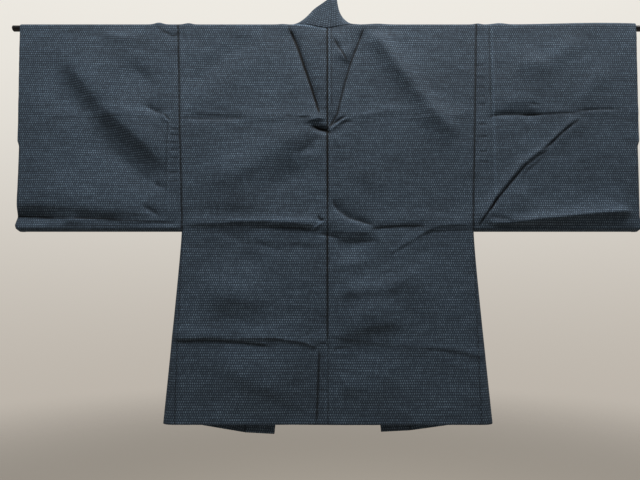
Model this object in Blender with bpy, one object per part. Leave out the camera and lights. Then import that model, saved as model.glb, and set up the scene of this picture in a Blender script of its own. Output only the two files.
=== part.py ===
"""A man's haori, a hip-length kimono jacket, hung flat on a straight rod through both sleeves.

Metres, +Z up. The rod's axis runs along X through the origin, at the garment's middle. The back of
the garment faces -Y. Each cloth piece is a wall of even thickness: an inner surface that is worked
out from the cut, and an outer one set off from it. Neighbouring pieces stop a hair apart at seams.
"""

import math
from collections import namedtuple

import bmesh
import bpy
from mathutils import Vector

# Rod
ROD_RADIUS = 0.0065
ROD_HALF_LENGTH = 0.705
ROD_SIDES = 24
ROD_END_BEVEL = 0.0008

# Cloth
CLOTH = 0.0015
COLLAR_CLOTH = 0.0024
SEAM_GAP = 0.0003
HANG = 0.0072  # from the rod's axis to the inside of the cloth that hangs over it

# Cut, all measured on the hung garment
SHOULDER_HALF = 0.333
BACK_HALF = 0.3085
NECK_HALF = 0.080
FRONT_EDGE_AT_HEM = 0.170
COLLAR_WIDTH = 0.060
BODY_DROP = 0.854
SLEEVE_DROP = 0.4595
CUFF_OPENING = 0.262
NECKLINE_DIP = 0.0037
FRONT_POINT = {-1: 0.026, 1: 0.021}  # share by which a front runs lower at its collar
COLLAR_END_SLOPE = 0.004
HEM_HALF_DEPTH = 0.0145
GUSSET_TOP = 0.4635
GUSSET_BULGE_TOP = 0.0015
GUSSET_BULGE_HEM = 0.0265
CUFF_HALF_SPAN = {-1: 0.686, 1: 0.690}

# How far the sleeve's outer edge draws in below its top corner
CuffEdge = namedtuple("CuffEdge", "z drawn_in")
CUFF_EDGE = (
    CuffEdge(0.010, 0.000),
    CuffEdge(-0.210, 0.012),
    CuffEdge(-0.390, 0.021),
    CuffEdge(-0.430, 0.023),
    CuffEdge(-0.447, 0.019),
    CuffEdge(-0.455, 0.022),
    CuffEdge(-0.461, 0.030),
)

# The largest folds: a soft ridge (lift above 0) or trough along a straight stretch of one layer
Fold = namedtuple("Fold", "layer x0 z0 x1 z1 half_width lift")
FOLDS = (
    # creases across the garment where it lay folded, at a quarter, half and four fifths of its length
    Fold("back", -0.600, -0.206, -0.366, -0.206, 0.014, 0.0012),
    Fold("back", -0.305, -0.206, -0.025, -0.208, 0.014, 0.0022),
    Fold("back", 0.030, -0.210, 0.137, -0.197, 0.014, 0.0024),
    Fold("back", 0.137, -0.197, 0.305, -0.202, 0.014, 0.0018),
    Fold("back", 0.369, -0.196, 0.678, -0.196, 0.014, 0.0020),
    Fold("back", -0.305, -0.438, -0.003, -0.436, 0.014, 0.0026),
    Fold("back", 0.003, -0.440, 0.300, -0.438, 0.014, 0.0018),
    Fold("back", -0.320, -0.682, -0.120, -0.678, 0.016, 0.0026),
    Fold("back", -0.120, -0.678, -0.010, -0.694, 0.014, 0.0020),
    Fold("back", 0.005, -0.670, 0.120, -0.684, 0.014, 0.0020),
    Fold("back", 0.120, -0.692, 0.315, -0.718, 0.016, 0.0026),
    # hollows that run down from the neck and meet at the centre back
    Fold("back", -0.086, -0.010, -0.012, -0.205, 0.018, -0.0020),
    Fold("back", 0.080, -0.012, 0.006, -0.235, 0.018, -0.0020),
    Fold("back", 0.098, -0.010, 0.205, -0.185, 0.026, -0.0012),
    Fold("back", -0.040, -0.226, 0.040, -0.216, 0.014, -0.0010),
    # roll that leaves the right sleeve's corner towards the middle of the back
    Fold("back", 0.128, -0.505, 0.212, -0.458, 0.014, 0.0040),
    Fold("back", 0.212, -0.458, 0.300, -0.440, 0.014, 0.0036),
    # broad shadow down the left sleeve, and its turned-up bottom
    Fold("back", -0.589, -0.067, -0.461, -0.228, 0.026, -0.0018),
    Fold("back", -0.461, -0.228, -0.359, -0.326, 0.026, -0.0018),
    Fold("back", -0.640, -0.413, -0.346, -0.426, 0.012, -0.0018),
    # sharp fold across the right sleeve, and the flap above its bottom
    Fold("back", 0.330, -0.425, 0.422, -0.315, 0.015, 0.0032),
    Fold("back", 0.422, -0.315, 0.547, -0.227, 0.015, 0.0028),
    Fold("back", 0.401, -0.440, 0.655, -0.408, 0.012, 0.0028),
    # the same packing creases on the fronts
    Fold("front", -0.640, -0.204, -0.110, -0.208, 0.014, 0.0018),
    Fold("front", 0.110, -0.206, 0.650, -0.202, 0.014, 0.0018),
    Fold("front", -0.300, -0.440, -0.130, -0.436, 0.014, 0.0026),
    Fold("front", 0.130, -0.438, 0.300, -0.444, 0.014, 0.0024),
    Fold("front", -0.305, -0.690, -0.160, -0.680, 0.016, 0.0024),
    Fold("front", 0.160, -0.684, 0.305, -0.694, 0.016, 0.0024),
    Fold("front", -0.560, -0.100, -0.400, -0.300, 0.026, -0.0016),
    Fold("front", 0.400, -0.320, 0.560, -0.150, 0.022, 0.0022),
)
FOLD_FADE = 0.030  # the folds die out over this length towards the rod and the sleeve's bottom
FOLD_MOST = 0.0045  # where folds cross, they add up to no more than this

# The collar round the neck, from the left front over the rod to the right front. Each section runs
# from its seam past a bend to its free edge. Place -1 to 1 is a share of half the neckline, and on to
# -2 or 2 it is the quarter turn over the rod, down to the rod's level at the front.
CollarSection = namedtuple("CollarSection", "place bend free")
COLLAR_NECK = (
    CollarSection(-2.00, (-0.051, 0.0095, 0.000), (-0.024, 0.0090, -0.002)),
    CollarSection(-1.50, (-0.054, 0.0100, 0.007), (-0.034, 0.0105, 0.009)),
    CollarSection(-1.00, (-0.058, 0.0040, 0.013), (-0.043, 0.0060, 0.024)),
    CollarSection(-0.75, (-0.049, -0.0030, 0.020), (-0.036, -0.0010, 0.035)),
    CollarSection(-0.50, (-0.032, -0.0070, 0.024), (-0.023, -0.0065, 0.046)),
    CollarSection(-0.25, (-0.013, -0.0074, 0.028), (-0.006, -0.0072, 0.059)),
    CollarSection(0.00, (0.004, -0.0076, 0.032), (0.008, -0.0076, 0.069)),
    CollarSection(0.25, (0.020, -0.0076, 0.034), (0.018, -0.0076, 0.075)),
    CollarSection(0.50, (0.033, -0.0050, 0.014), (0.0205, 0.0000, 0.055)),
    CollarSection(0.75, (0.047, 0.0030, 0.0100), (0.026, 0.0050, 0.033)),
    CollarSection(1.00, (0.055, 0.0080, 0.0085), (0.035, 0.0090, 0.016)),
    CollarSection(1.50, (0.053, 0.0105, 0.0040), (0.032, 0.0105, 0.006)),
    CollarSection(2.00, (0.051, 0.0095, 0.000), (0.024, 0.0090, -0.002)),
)
COLLAR_ACROSS = 4
NECK_GAP = 0.0005

# Mesh
EVEN_ROWS = 22
CREASE_ROWS = (-0.208, -0.440, -0.688)
CREASE_ROW_SPREAD = (-0.010, 0.0, 0.010)
CLOSEST_ROWS = 0.007
TOP_ROW = -0.012
NECK_COLUMNS = 6
SIDE_COLUMNS = 8
SLEEVE_COLUMNS = 10
ARC_STEPS = 4
GUSSET_STEPS = 6

INDIGO = (0.040, 0.055, 0.075)
INDIGO_DARK = (0.030, 0.042, 0.060)
ROD_BLACK = (0.018, 0.018, 0.020)


def clear_scene():
    for item in list(bpy.data.objects):
        bpy.data.objects.remove(item, do_unlink=True)


def finish(name, colour, roughness, metallic=0.0):
    material = bpy.data.materials.new(name)
    material.use_nodes = True
    shader = material.node_tree.nodes["Principled BSDF"]
    shader.inputs["Base Color"].default_value = (*colour, 1.0)
    shader.inputs["Roughness"].default_value = roughness
    shader.inputs["Metallic"].default_value = metallic
    return material


def smooth(share):
    share = min(1.0, max(0.0, share))
    return share * share * (3.0 - 2.0 * share)


def mix(low, high, share):
    return low + (high - low) * share


def relief(layer, x, z):
    """How far the named layer stands out of its plain plane at this place."""
    total = 0.0
    for fold in FOLDS:
        if fold.layer != layer:
            continue
        run_x = fold.x1 - fold.x0
        run_z = fold.z1 - fold.z0
        along = ((x - fold.x0) * run_x + (z - fold.z0) * run_z) / (run_x ** 2 + run_z ** 2)
        along = min(1.0, max(0.0, along))
        away = math.hypot(x - fold.x0 - along * run_x, z - fold.z0 - along * run_z)
        total += fold.lift * math.exp(-((away / fold.half_width) ** 2))
    return FOLD_MOST * math.tanh(total / FOLD_MOST) * smooth(-z / FOLD_FADE)


def half_depth(z):
    """Half the space between back and front: the gussets open it below the sleeves."""
    opened = smooth((-z - GUSSET_TOP) / (BODY_DROP - GUSSET_TOP))
    return mix(HANG, HEM_HALF_DEPTH, opened)


def side_edge(z):
    """Half the body's width, which draws in from the shoulder to the bottom of the sleeve."""
    return mix(SHOULDER_HALF, BACK_HALF, min(1.0, max(0.0, -z / SLEEVE_DROP)))


def front_edge(z):
    """Where a front meets the collar: the neck point at the top, spreading to the hem."""
    return mix(NECK_HALF, FRONT_EDGE_AT_HEM, min(1.0, max(0.0, -z / BODY_DROP)))


def cuff_edge(side, z):
    above = CUFF_EDGE[0]
    for below in CUFF_EDGE[1:]:
        if z >= below.z:
            break
        above = below
    share = min(1.0, (z - above.z) / (below.z - above.z))
    return CUFF_HALF_SPAN[side] - mix(above.drawn_in, below.drawn_in, share)


def neckline(x):
    """Length along the cloth, above the level of the rod's axis, at which the back's neckline lies."""
    return mix(-NECKLINE_DIP, HANG * math.pi / 2, abs(x) / NECK_HALF)


def hung(face, x, length, z_scale=1.0):
    """Inner point and outward direction on cloth hung over the rod.

    face is -1 for the back layer and 1 for the front. A length below 0 is the height on the plane
    that hangs, and one above 0 runs on round the top of the rod.
    """
    if length > 0.0:
        turn = length / HANG
        direction = Vector((0.0, face * math.cos(turn), math.sin(turn)))
        return Vector((x, 0.0, 0.0)) + HANG * direction, direction
    z = length * z_scale
    layer = "back" if face < 0 else "front"
    depth = half_depth(length) + relief(layer, x, z)
    return Vector((x, face * depth, z)), Vector((0.0, face, 0.0))


def rows_from(bottom):
    """Heights of the mesh rows up to the rod's level, closer together at the packing creases."""
    between = [mix(bottom, TOP_ROW, step / EVEN_ROWS) for step in range(1, EVEN_ROWS)]
    creased = [crease + spread for crease in CREASE_ROWS for spread in CREASE_ROW_SPREAD]
    for height in creased:
        between = [row for row in between if abs(row - height) > CLOSEST_ROWS]
    return [bottom] + sorted(between + creased) + [TOP_ROW, 0.0]


def arc_lengths():
    return [HANG * math.pi / 2 * step / ARC_STEPS for step in range(1, ARC_STEPS + 1)]


def wall(name, points, faces, material, thickness=CLOTH):
    """A closed wall: points maps a key to (inner point, outward direction), faces list their keys."""
    mesh = bmesh.new()
    inner = {}
    outer = {}
    for key, (point, direction) in points.items():
        inner[key] = mesh.verts.new(point)
        outer[key] = mesh.verts.new(point + thickness * direction)
    turned = []
    for face in faces:
        corners = [outer[key].co for key in face]
        facing = sum((points[key][1] for key in face), Vector())
        normal = (corners[1] - corners[0]).cross(corners[2] - corners[0])
        if len(face) == 4:
            normal = (corners[2] - corners[0]).cross(corners[3] - corners[1])
        turned.append(tuple(face) if normal.dot(facing) > 0 else tuple(reversed(face)))
    edges = set()
    for face in turned:
        mesh.faces.new([outer[key] for key in face])
        mesh.faces.new([inner[key] for key in reversed(face)])
        edges.update(zip(face, face[1:] + face[:1]))
    for start, end in edges:
        if (end, start) not in edges:
            mesh.faces.new([outer[end], outer[start], inner[start], inner[end]])
    return shown(name, mesh, material)


def shown(name, mesh, material):
    data = bpy.data.meshes.new(name)
    mesh.to_mesh(data)
    mesh.free()
    data.materials.append(material)
    data.shade_smooth()
    data.set_sharp_from_angle(angle=math.radians(35))
    item = bpy.data.objects.new(name, data)
    bpy.context.scene.collection.objects.link(item)
    return item


def body_panel(name, side, material):
    """Back and front in one length over the rod, cut away at the neck and along the front."""
    rows = rows_from(-BODY_DROP)
    lengths = rows + arc_lengths()
    top = len(lengths) - 1
    low_row = len(rows) - 2
    points = {}
    faces = []
    for row, length in enumerate(lengths):
        for column in range(NECK_COLUMNS + SIDE_COLUMNS + 1):
            share = (column - NECK_COLUMNS) / SIDE_COLUMNS
            if column < NECK_COLUMNS:
                x = mix(SEAM_GAP / 2, NECK_HALF, column / NECK_COLUMNS)
                cut = length
                if row > low_row:
                    squeeze = (neckline(x) - TOP_ROW) / (lengths[top] - TOP_ROW)
                    cut = TOP_ROW + (length - TOP_ROW) * squeeze
                points[("back", row, column)] = hung(-1, side * x, cut)
                continue
            x = mix(NECK_HALF, side_edge(length), share)
            points[("back", row, column)] = hung(-1, side * x, length)
            if row == top:
                continue
            x = mix(front_edge(length), side_edge(length), share)
            lower = 1.0 + FRONT_POINT[side] * (1.0 - share)
            points[("front", row, column)] = hung(1, side * x, length, lower)
    for row in range(top):
        for column in range(NECK_COLUMNS + SIDE_COLUMNS):
            faces.append(
                [
                    ("back", row, column),
                    ("back", row, column + 1),
                    ("back", row + 1, column + 1),
                    ("back", row + 1, column),
                ]
            )
            if column < NECK_COLUMNS:
                continue
            above = "back" if row + 1 == top else "front"
            faces.append(
                [
                    ("front", row, column),
                    ("front", row, column + 1),
                    (above, row + 1, column + 1),
                    (above, row + 1, column),
                ]
            )
    return wall(name, points, faces, material)


def sleeve(name, side, material):
    """A bag of one length of cloth: open to the body and at the cuff, closed below the cuff."""
    turn_centre = -SLEEVE_DROP + HANG
    rows = [row for row in rows_from(-BODY_DROP) if row > turn_centre + CLOSEST_ROWS]
    turn = [math.pi / 2 * step / ARC_STEPS for step in range(ARC_STEPS)]
    path = [("turn", angle) for angle in turn]
    path += [("hung", length) for length in [turn_centre] + rows + arc_lengths()]
    last = len(path) - 1
    points = {}
    faces = []
    for face in (-1, 1):
        for row, (kind, value) in enumerate(path):
            if face > 0 and row in (0, last):
                continue
            for column in range(SLEEVE_COLUMNS + 1):
                share = column / SLEEVE_COLUMNS
                if kind == "turn":
                    z = turn_centre - HANG * math.cos(value)
                    direction = Vector((0.0, face * math.sin(value), -math.cos(value)))
                else:
                    z = value
                x = mix(side_edge(z) + SEAM_GAP, cuff_edge(side, z), share)
                if kind == "turn":
                    centre = Vector((side * x, 0.0, turn_centre))
                    point = centre + HANG * direction
                else:
                    point, direction = hung(face, side * x, value)
                    if value < 0.0:
                        plain = Vector((side * x, face * HANG, value))
                        point = plain.lerp(point, smooth((value - turn_centre) / FOLD_FADE))
                if column == SLEEVE_COLUMNS and z < -CUFF_OPENING:
                    point.x -= side * CLOTH
                    direction = direction + Vector((side, 0.0, 0.0))
                points[(face, row, column)] = (point, direction)

    def key(face, row, column):
        return (-1 if row in (0, last) else face, row, column)

    for face in (-1, 1):
        for row in range(last):
            for column in range(SLEEVE_COLUMNS):
                faces.append(
                    [
                        key(face, row, column),
                        key(face, row, column + 1),
                        key(face, row + 1, column + 1),
                        key(face, row + 1, column),
                    ]
                )
    closed = [row for row, (kind, value) in enumerate(path) if kind == "turn" or value < -CUFF_OPENING]
    end = SLEEVE_COLUMNS
    for row in closed[1:]:
        back = points[(-1, row, end)][0]
        front = points[(1, row, end)][0]
        points[("end", row)] = ((back + front) / 2, Vector((side, 0.0, 0.0)))
    for face in (-1, 1):
        faces.append([key(face, 0, end), key(face, 1, end), ("end", 1)])
        for row in closed[1:-1]:
            faces.append([key(face, row, end), key(face, row + 1, end), ("end", row + 1), ("end", row)])
    return wall(name, points, faces, material)


def gusset(name, side, material):
    """A narrow wedge that joins back to front below the sleeve and bulges out between them."""
    rows = [row for row in rows_from(-BODY_DROP) if row < -GUSSET_TOP - CLOSEST_ROWS]
    rows = [-GUSSET_TOP] + rows[::-1]
    points = {}
    faces = []
    for row, z in enumerate(rows):
        share = (-z - GUSSET_TOP) / (BODY_DROP - GUSSET_TOP)
        bulge = mix(GUSSET_BULGE_TOP, GUSSET_BULGE_HEM, share ** 1.1)
        x = side_edge(z) + SEAM_GAP
        for step in range(GUSSET_STEPS + 1):
            turn = math.pi * step / GUSSET_STEPS
            edge, _ = hung(-1 if turn < math.pi / 2 else 1, side * x, z)
            point = Vector((side * (x + bulge * math.sin(turn)), abs(edge.y) * -math.cos(turn), z))
            direction = Vector((side * math.sin(turn), -math.cos(turn), 0.0))
            points[(row, step)] = (point, direction)
    for row in range(len(rows) - 1):
        for step in range(GUSSET_STEPS):
            faces.append([(row, step), (row + 1, step), (row + 1, step + 1), (row, step + 1)])
    return wall(name, points, faces, material)


def collar_sections():
    """The collar's seam, bend and free edge, with the direction in which the seam faces out."""
    sections = []
    for side in (-1, 1):
        front = []
        for z in rows_from(-BODY_DROP)[:-1]:
            seam, direction = hung(1, side * (front_edge(z) - SEAM_GAP), z, 1.0 + FRONT_POINT[side])
            free_drop = 1.0 + FRONT_POINT[side] + COLLAR_END_SLOPE
            free, _ = hung(1, side * (front_edge(z) - COLLAR_WIDTH), z, free_drop)
            front.append((seam, (seam + free) / 2, free, direction))
        if side < 0:
            sections += front
            sections += [neck_section(place) for place in neck_places()]
        else:
            sections += reversed(front)
    return sections


def neck_places():
    over_rod = [2.0 - step / ARC_STEPS for step in range(ARC_STEPS)]
    neck = [step / NECK_COLUMNS for step in range(-NECK_COLUMNS, NECK_COLUMNS + 1)]
    return [-place for place in over_rod] + neck + over_rod[::-1]


def neck_section(place):
    """Seam on the neckline or the front's edge, and a smooth curve through the table's sections."""
    side = math.copysign(1.0, place)
    if abs(place) >= 1.0:
        length = HANG * math.pi / 2 * (2.0 - abs(place))
        seam, direction = hung(1, side * (NECK_HALF - NECK_GAP), length)
    else:
        seam, direction = hung(-1, place * NECK_HALF, neckline(place * NECK_HALF) + NECK_GAP)
    index = max(row for row, section in enumerate(COLLAR_NECK[:-1]) if section.place <= place)
    rows = [COLLAR_NECK[min(len(COLLAR_NECK) - 1, max(0, index + step))] for step in (-1, 0, 1, 2)]
    share = (place - rows[1].place) / (rows[2].place - rows[1].place)
    bend = through([Vector(section.bend) for section in rows], share)
    free = through([Vector(section.free) for section in rows], share)
    return seam, bend, free, direction


def through(knots, share):
    """A point on the smooth curve between the second and third of four knots."""
    before, start, end, after = knots
    return 0.5 * (
        2 * start
        + (end - before) * share
        + (2 * before - 5 * start + 4 * end - after) * share ** 2
        + (3 * start - before - 3 * end + after) * share ** 3
    )


def bent(start, bend, end, share):
    return start.lerp(bend, share).lerp(bend.lerp(end, share), share)


def collar(name, material):
    """One long band of doubled cloth, sewn to the neckline and to both front edges."""
    sections = collar_sections()
    last = len(sections) - 1
    shares = [column / COLLAR_ACROSS for column in range(COLLAR_ACROSS + 1)]
    grid = [[bent(seam, bend, free, share) for share in shares] for seam, bend, free, _ in sections]
    points = {}
    faces = []
    for row, (*_, seam_direction) in enumerate(sections):
        for column, share in enumerate(shares):
            along = grid[min(last, row + 1)][column] - grid[max(0, row - 1)][column]
            across = grid[row][min(COLLAR_ACROSS, column + 1)] - grid[row][max(0, column - 1)]
            direction = seam_direction.lerp(along.cross(across).normalized(), smooth(2 * share))
            points[(row, column)] = (grid[row][column], direction.normalized())
    for row in range(last):
        for column in range(COLLAR_ACROSS):
            faces.append([(row, column), (row + 1, column), (row + 1, column + 1), (row, column + 1)])
    return wall(name, points, faces, material, COLLAR_CLOTH)


def rod(name, material):
    """A plain round bar with eased ends."""
    mesh = bmesh.new()
    bmesh.ops.create_cone(
        mesh,
        cap_ends=True,
        segments=ROD_SIDES,
        radius1=ROD_RADIUS,
        radius2=ROD_RADIUS,
        depth=2 * ROD_HALF_LENGTH,
    )
    bmesh.ops.rotate(mesh, verts=mesh.verts, matrix=Vector((1, 0, 0)).to_track_quat("Z", "Y").to_matrix())
    rims = [edge for edge in mesh.edges if abs(edge.verts[0].co.x - edge.verts[1].co.x) < ROD_RADIUS]
    bmesh.ops.bevel(mesh, geom=rims, offset=ROD_END_BEVEL, segments=1, affect="EDGES")
    return shown(name, mesh, material)


def main():
    clear_scene()
    cloth_finish = finish("indigo_cloth", INDIGO, 0.85)
    collar_finish = finish("indigo_collar", INDIGO_DARK, 0.85)
    rod_finish = finish("black_rod", ROD_BLACK, 0.45, 0.6)
    for side, word in ((-1, "left"), (1, "right")):
        body_panel(f"body_{word}", side, cloth_finish)
        sleeve(f"sleeve_{word}", side, cloth_finish)
        gusset(f"gusset_{word}", side, cloth_finish)
    collar("collar", collar_finish)
    rod("rod", rod_finish)


main()
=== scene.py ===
"""The haori on its rod: finished cloth in place of the plain solids, the rod's paint, light and camera.

Metres, +Z up. The rod's axis runs along X through the origin, and the garment's back faces -Y.
"""

import math
from collections import namedtuple

import bmesh
import bpy
import numpy as np
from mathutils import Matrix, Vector


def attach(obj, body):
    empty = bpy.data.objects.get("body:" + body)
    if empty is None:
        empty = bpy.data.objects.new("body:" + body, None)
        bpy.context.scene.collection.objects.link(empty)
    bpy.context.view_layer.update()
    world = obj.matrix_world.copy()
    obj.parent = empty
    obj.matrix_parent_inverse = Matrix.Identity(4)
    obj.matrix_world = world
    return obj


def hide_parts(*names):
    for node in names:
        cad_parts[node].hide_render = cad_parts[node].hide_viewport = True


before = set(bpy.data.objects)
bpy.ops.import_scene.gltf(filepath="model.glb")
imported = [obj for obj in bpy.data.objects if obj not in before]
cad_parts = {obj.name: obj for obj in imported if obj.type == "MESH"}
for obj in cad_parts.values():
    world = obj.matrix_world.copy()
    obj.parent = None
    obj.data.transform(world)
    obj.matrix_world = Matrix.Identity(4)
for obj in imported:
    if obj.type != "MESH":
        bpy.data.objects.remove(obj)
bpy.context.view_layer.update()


# Rod
# A straight steel tube painted satin black. The haori hangs on it through both sleeves, so only its
# two ends show, where sliding cloth has rubbed the paint a little smoother.
ROD_PAINT = (0.010, 0.010, 0.011, 1.0)
ROD_WORN = (0.030, 0.029, 0.028, 1.0)
WEAR_SCALE = 45.0
WEAR_FROM = 0.45
WEAR_TO = 0.75
PAINT_ROUGHNESS = 0.42
WORN_ROUGHNESS = 0.28
PAINT_GRAIN_SCALE = 900.0
PAINT_GRAIN_DEPTH = 0.0002
PAINT_GRAIN_STRENGTH = 0.15


def add_node(tree, kind, inputs=None, **settings):
    """A node with its settings, and each input as a constant or as a link from another's output."""
    made = tree.nodes.new(kind)
    for name, value in settings.items():
        setattr(made, name, value)
    for key, value in (inputs or {}).items():
        if isinstance(value, bpy.types.NodeSocket):
            tree.links.new(value, made.inputs[key])
        else:
            made.inputs[key].default_value = value
    return made


def new_material(name):
    """An empty material, its node tree and its surface shader."""
    material = bpy.data.materials.new(name)
    material.use_nodes = True
    tree = material.node_tree
    return material, tree, tree.nodes["Principled BSDF"]


rod_material, tree, shader = new_material("black_rod")
place = add_node(tree, "ShaderNodeTexCoord").outputs["Object"]
rubbed = add_node(tree, "ShaderNodeTexNoise", {"Vector": place, "Scale": WEAR_SCALE, "Detail": 4.0})
wear = add_node(
    tree,
    "ShaderNodeMapRange",
    {"Value": rubbed.outputs["Fac"], "From Min": WEAR_FROM, "From Max": WEAR_TO},
)
paint = add_node(
    tree,
    "ShaderNodeMix",
    {"Factor": wear.outputs["Result"], "A": ROD_PAINT, "B": ROD_WORN},
    data_type="RGBA",
)
gloss = add_node(
    tree,
    "ShaderNodeMapRange",
    {"Value": rubbed.outputs["Fac"], "To Min": PAINT_ROUGHNESS, "To Max": WORN_ROUGHNESS},
)
grain = add_node(tree, "ShaderNodeTexNoise", {"Vector": place, "Scale": PAINT_GRAIN_SCALE, "Detail": 2.0})
bump = add_node(
    tree,
    "ShaderNodeBump",
    {"Height": grain.outputs["Fac"], "Strength": PAINT_GRAIN_STRENGTH, "Distance": PAINT_GRAIN_DEPTH},
)
tree.links.new(paint.outputs["Result"], shader.inputs["Base Color"])
tree.links.new(gloss.outputs["Result"], shader.inputs["Roughness"])
tree.links.new(bump.outputs["Normal"], shader.inputs["Normal"])
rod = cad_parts["rod"]
rod.data.materials.clear()
rod.data.materials.append(rod_material)


# Woven cloth
# Plain-woven indigo silk with slubs in both threads and small light flecks that are tied and dyed into
# the yarn before weaving. They lie in rows, every other row half a step along, and never quite even.
FLECK_ACROSS = 0.00462
FLECK_DOWN = 0.0051
WARP_PITCH = 0.00044
WEFT_PITCH = 0.00050
YARN_SLIP = 0.14  # how far neighbouring threads' flecks miss each other, in flecks
ROW_DRIFT = 0.30  # how far a whole row of flecks lies off its place, in flecks
ROW_WANDER = 0.50  # and how far it wanders along the row
WANDER_ACROSS = 14.0
WANDER_DOWN = 60.0
UNDER_SHOWS = 0.40  # how much of a fleck shows where its thread passes below the other
WEAKEST_FLECK = 0.50
CLOTH_DARK = (0.0205, 0.0335, 0.052, 1.0)
CLOTH_FLECK = (0.154, 0.221, 0.300, 1.0)
CLOTH_ROUGHNESS = 0.80
CLOTH_SPECULAR = 0.25
CLOTH_SHEEN = 0.06
SHEEN_ROUGHNESS = 0.5
SHEEN_TINT = (0.65, 0.75, 0.90, 1.0)
GLOSS_OVER_SHADE = 0.35  # extra painted shade on the dark lines, so that the cloth's gloss over them doesn't lighten them
LEAST_UNDER_PAINTED_SHADE = 0.02  # of the cloth's colour that is left in the darkest painted shade line
WEAVE_DEPTH = 0.0002
WEAVE_STRENGTH = 0.35

# A fleck's two bars: half their width and height, in flecks, where they end and where they are full
Bar = namedtuple("Bar", "width_ends width_full height_ends height_full")
IN_WARP = Bar(0.22, 0.14, 0.44, 0.34)
IN_WEFT = Bar(0.40, 0.28, 0.15, 0.09)

# What varies slowly over the cloth: noise with so many cells a metre, and its least and most effect
Change = namedtuple("Change", "across down detail noise_from noise_to least most")
FLECK_PATCHES = Change(16.0, 90.0, 2.0, 0.30, 0.65, 0.74, 1.00)
# painted shade and painted highlight of a thread, as a factor on the colour from its sides to its crown
THREAD_PAINTED_SHADING = (0.72, 1.24)
DYE_CHANGES = (
    Change(18.0, 430.0, 3.0, 0.25, 0.75, 0.80, 1.20),  # slubs in the weft
    Change(820.0, 30.0, 3.0, 0.25, 0.75, 0.90, 1.10),  # slubs in the warp
    Change(6.0, 11.0, 4.0, 0.25, 0.75, 0.90, 1.10),  # faded and darker places
)


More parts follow.
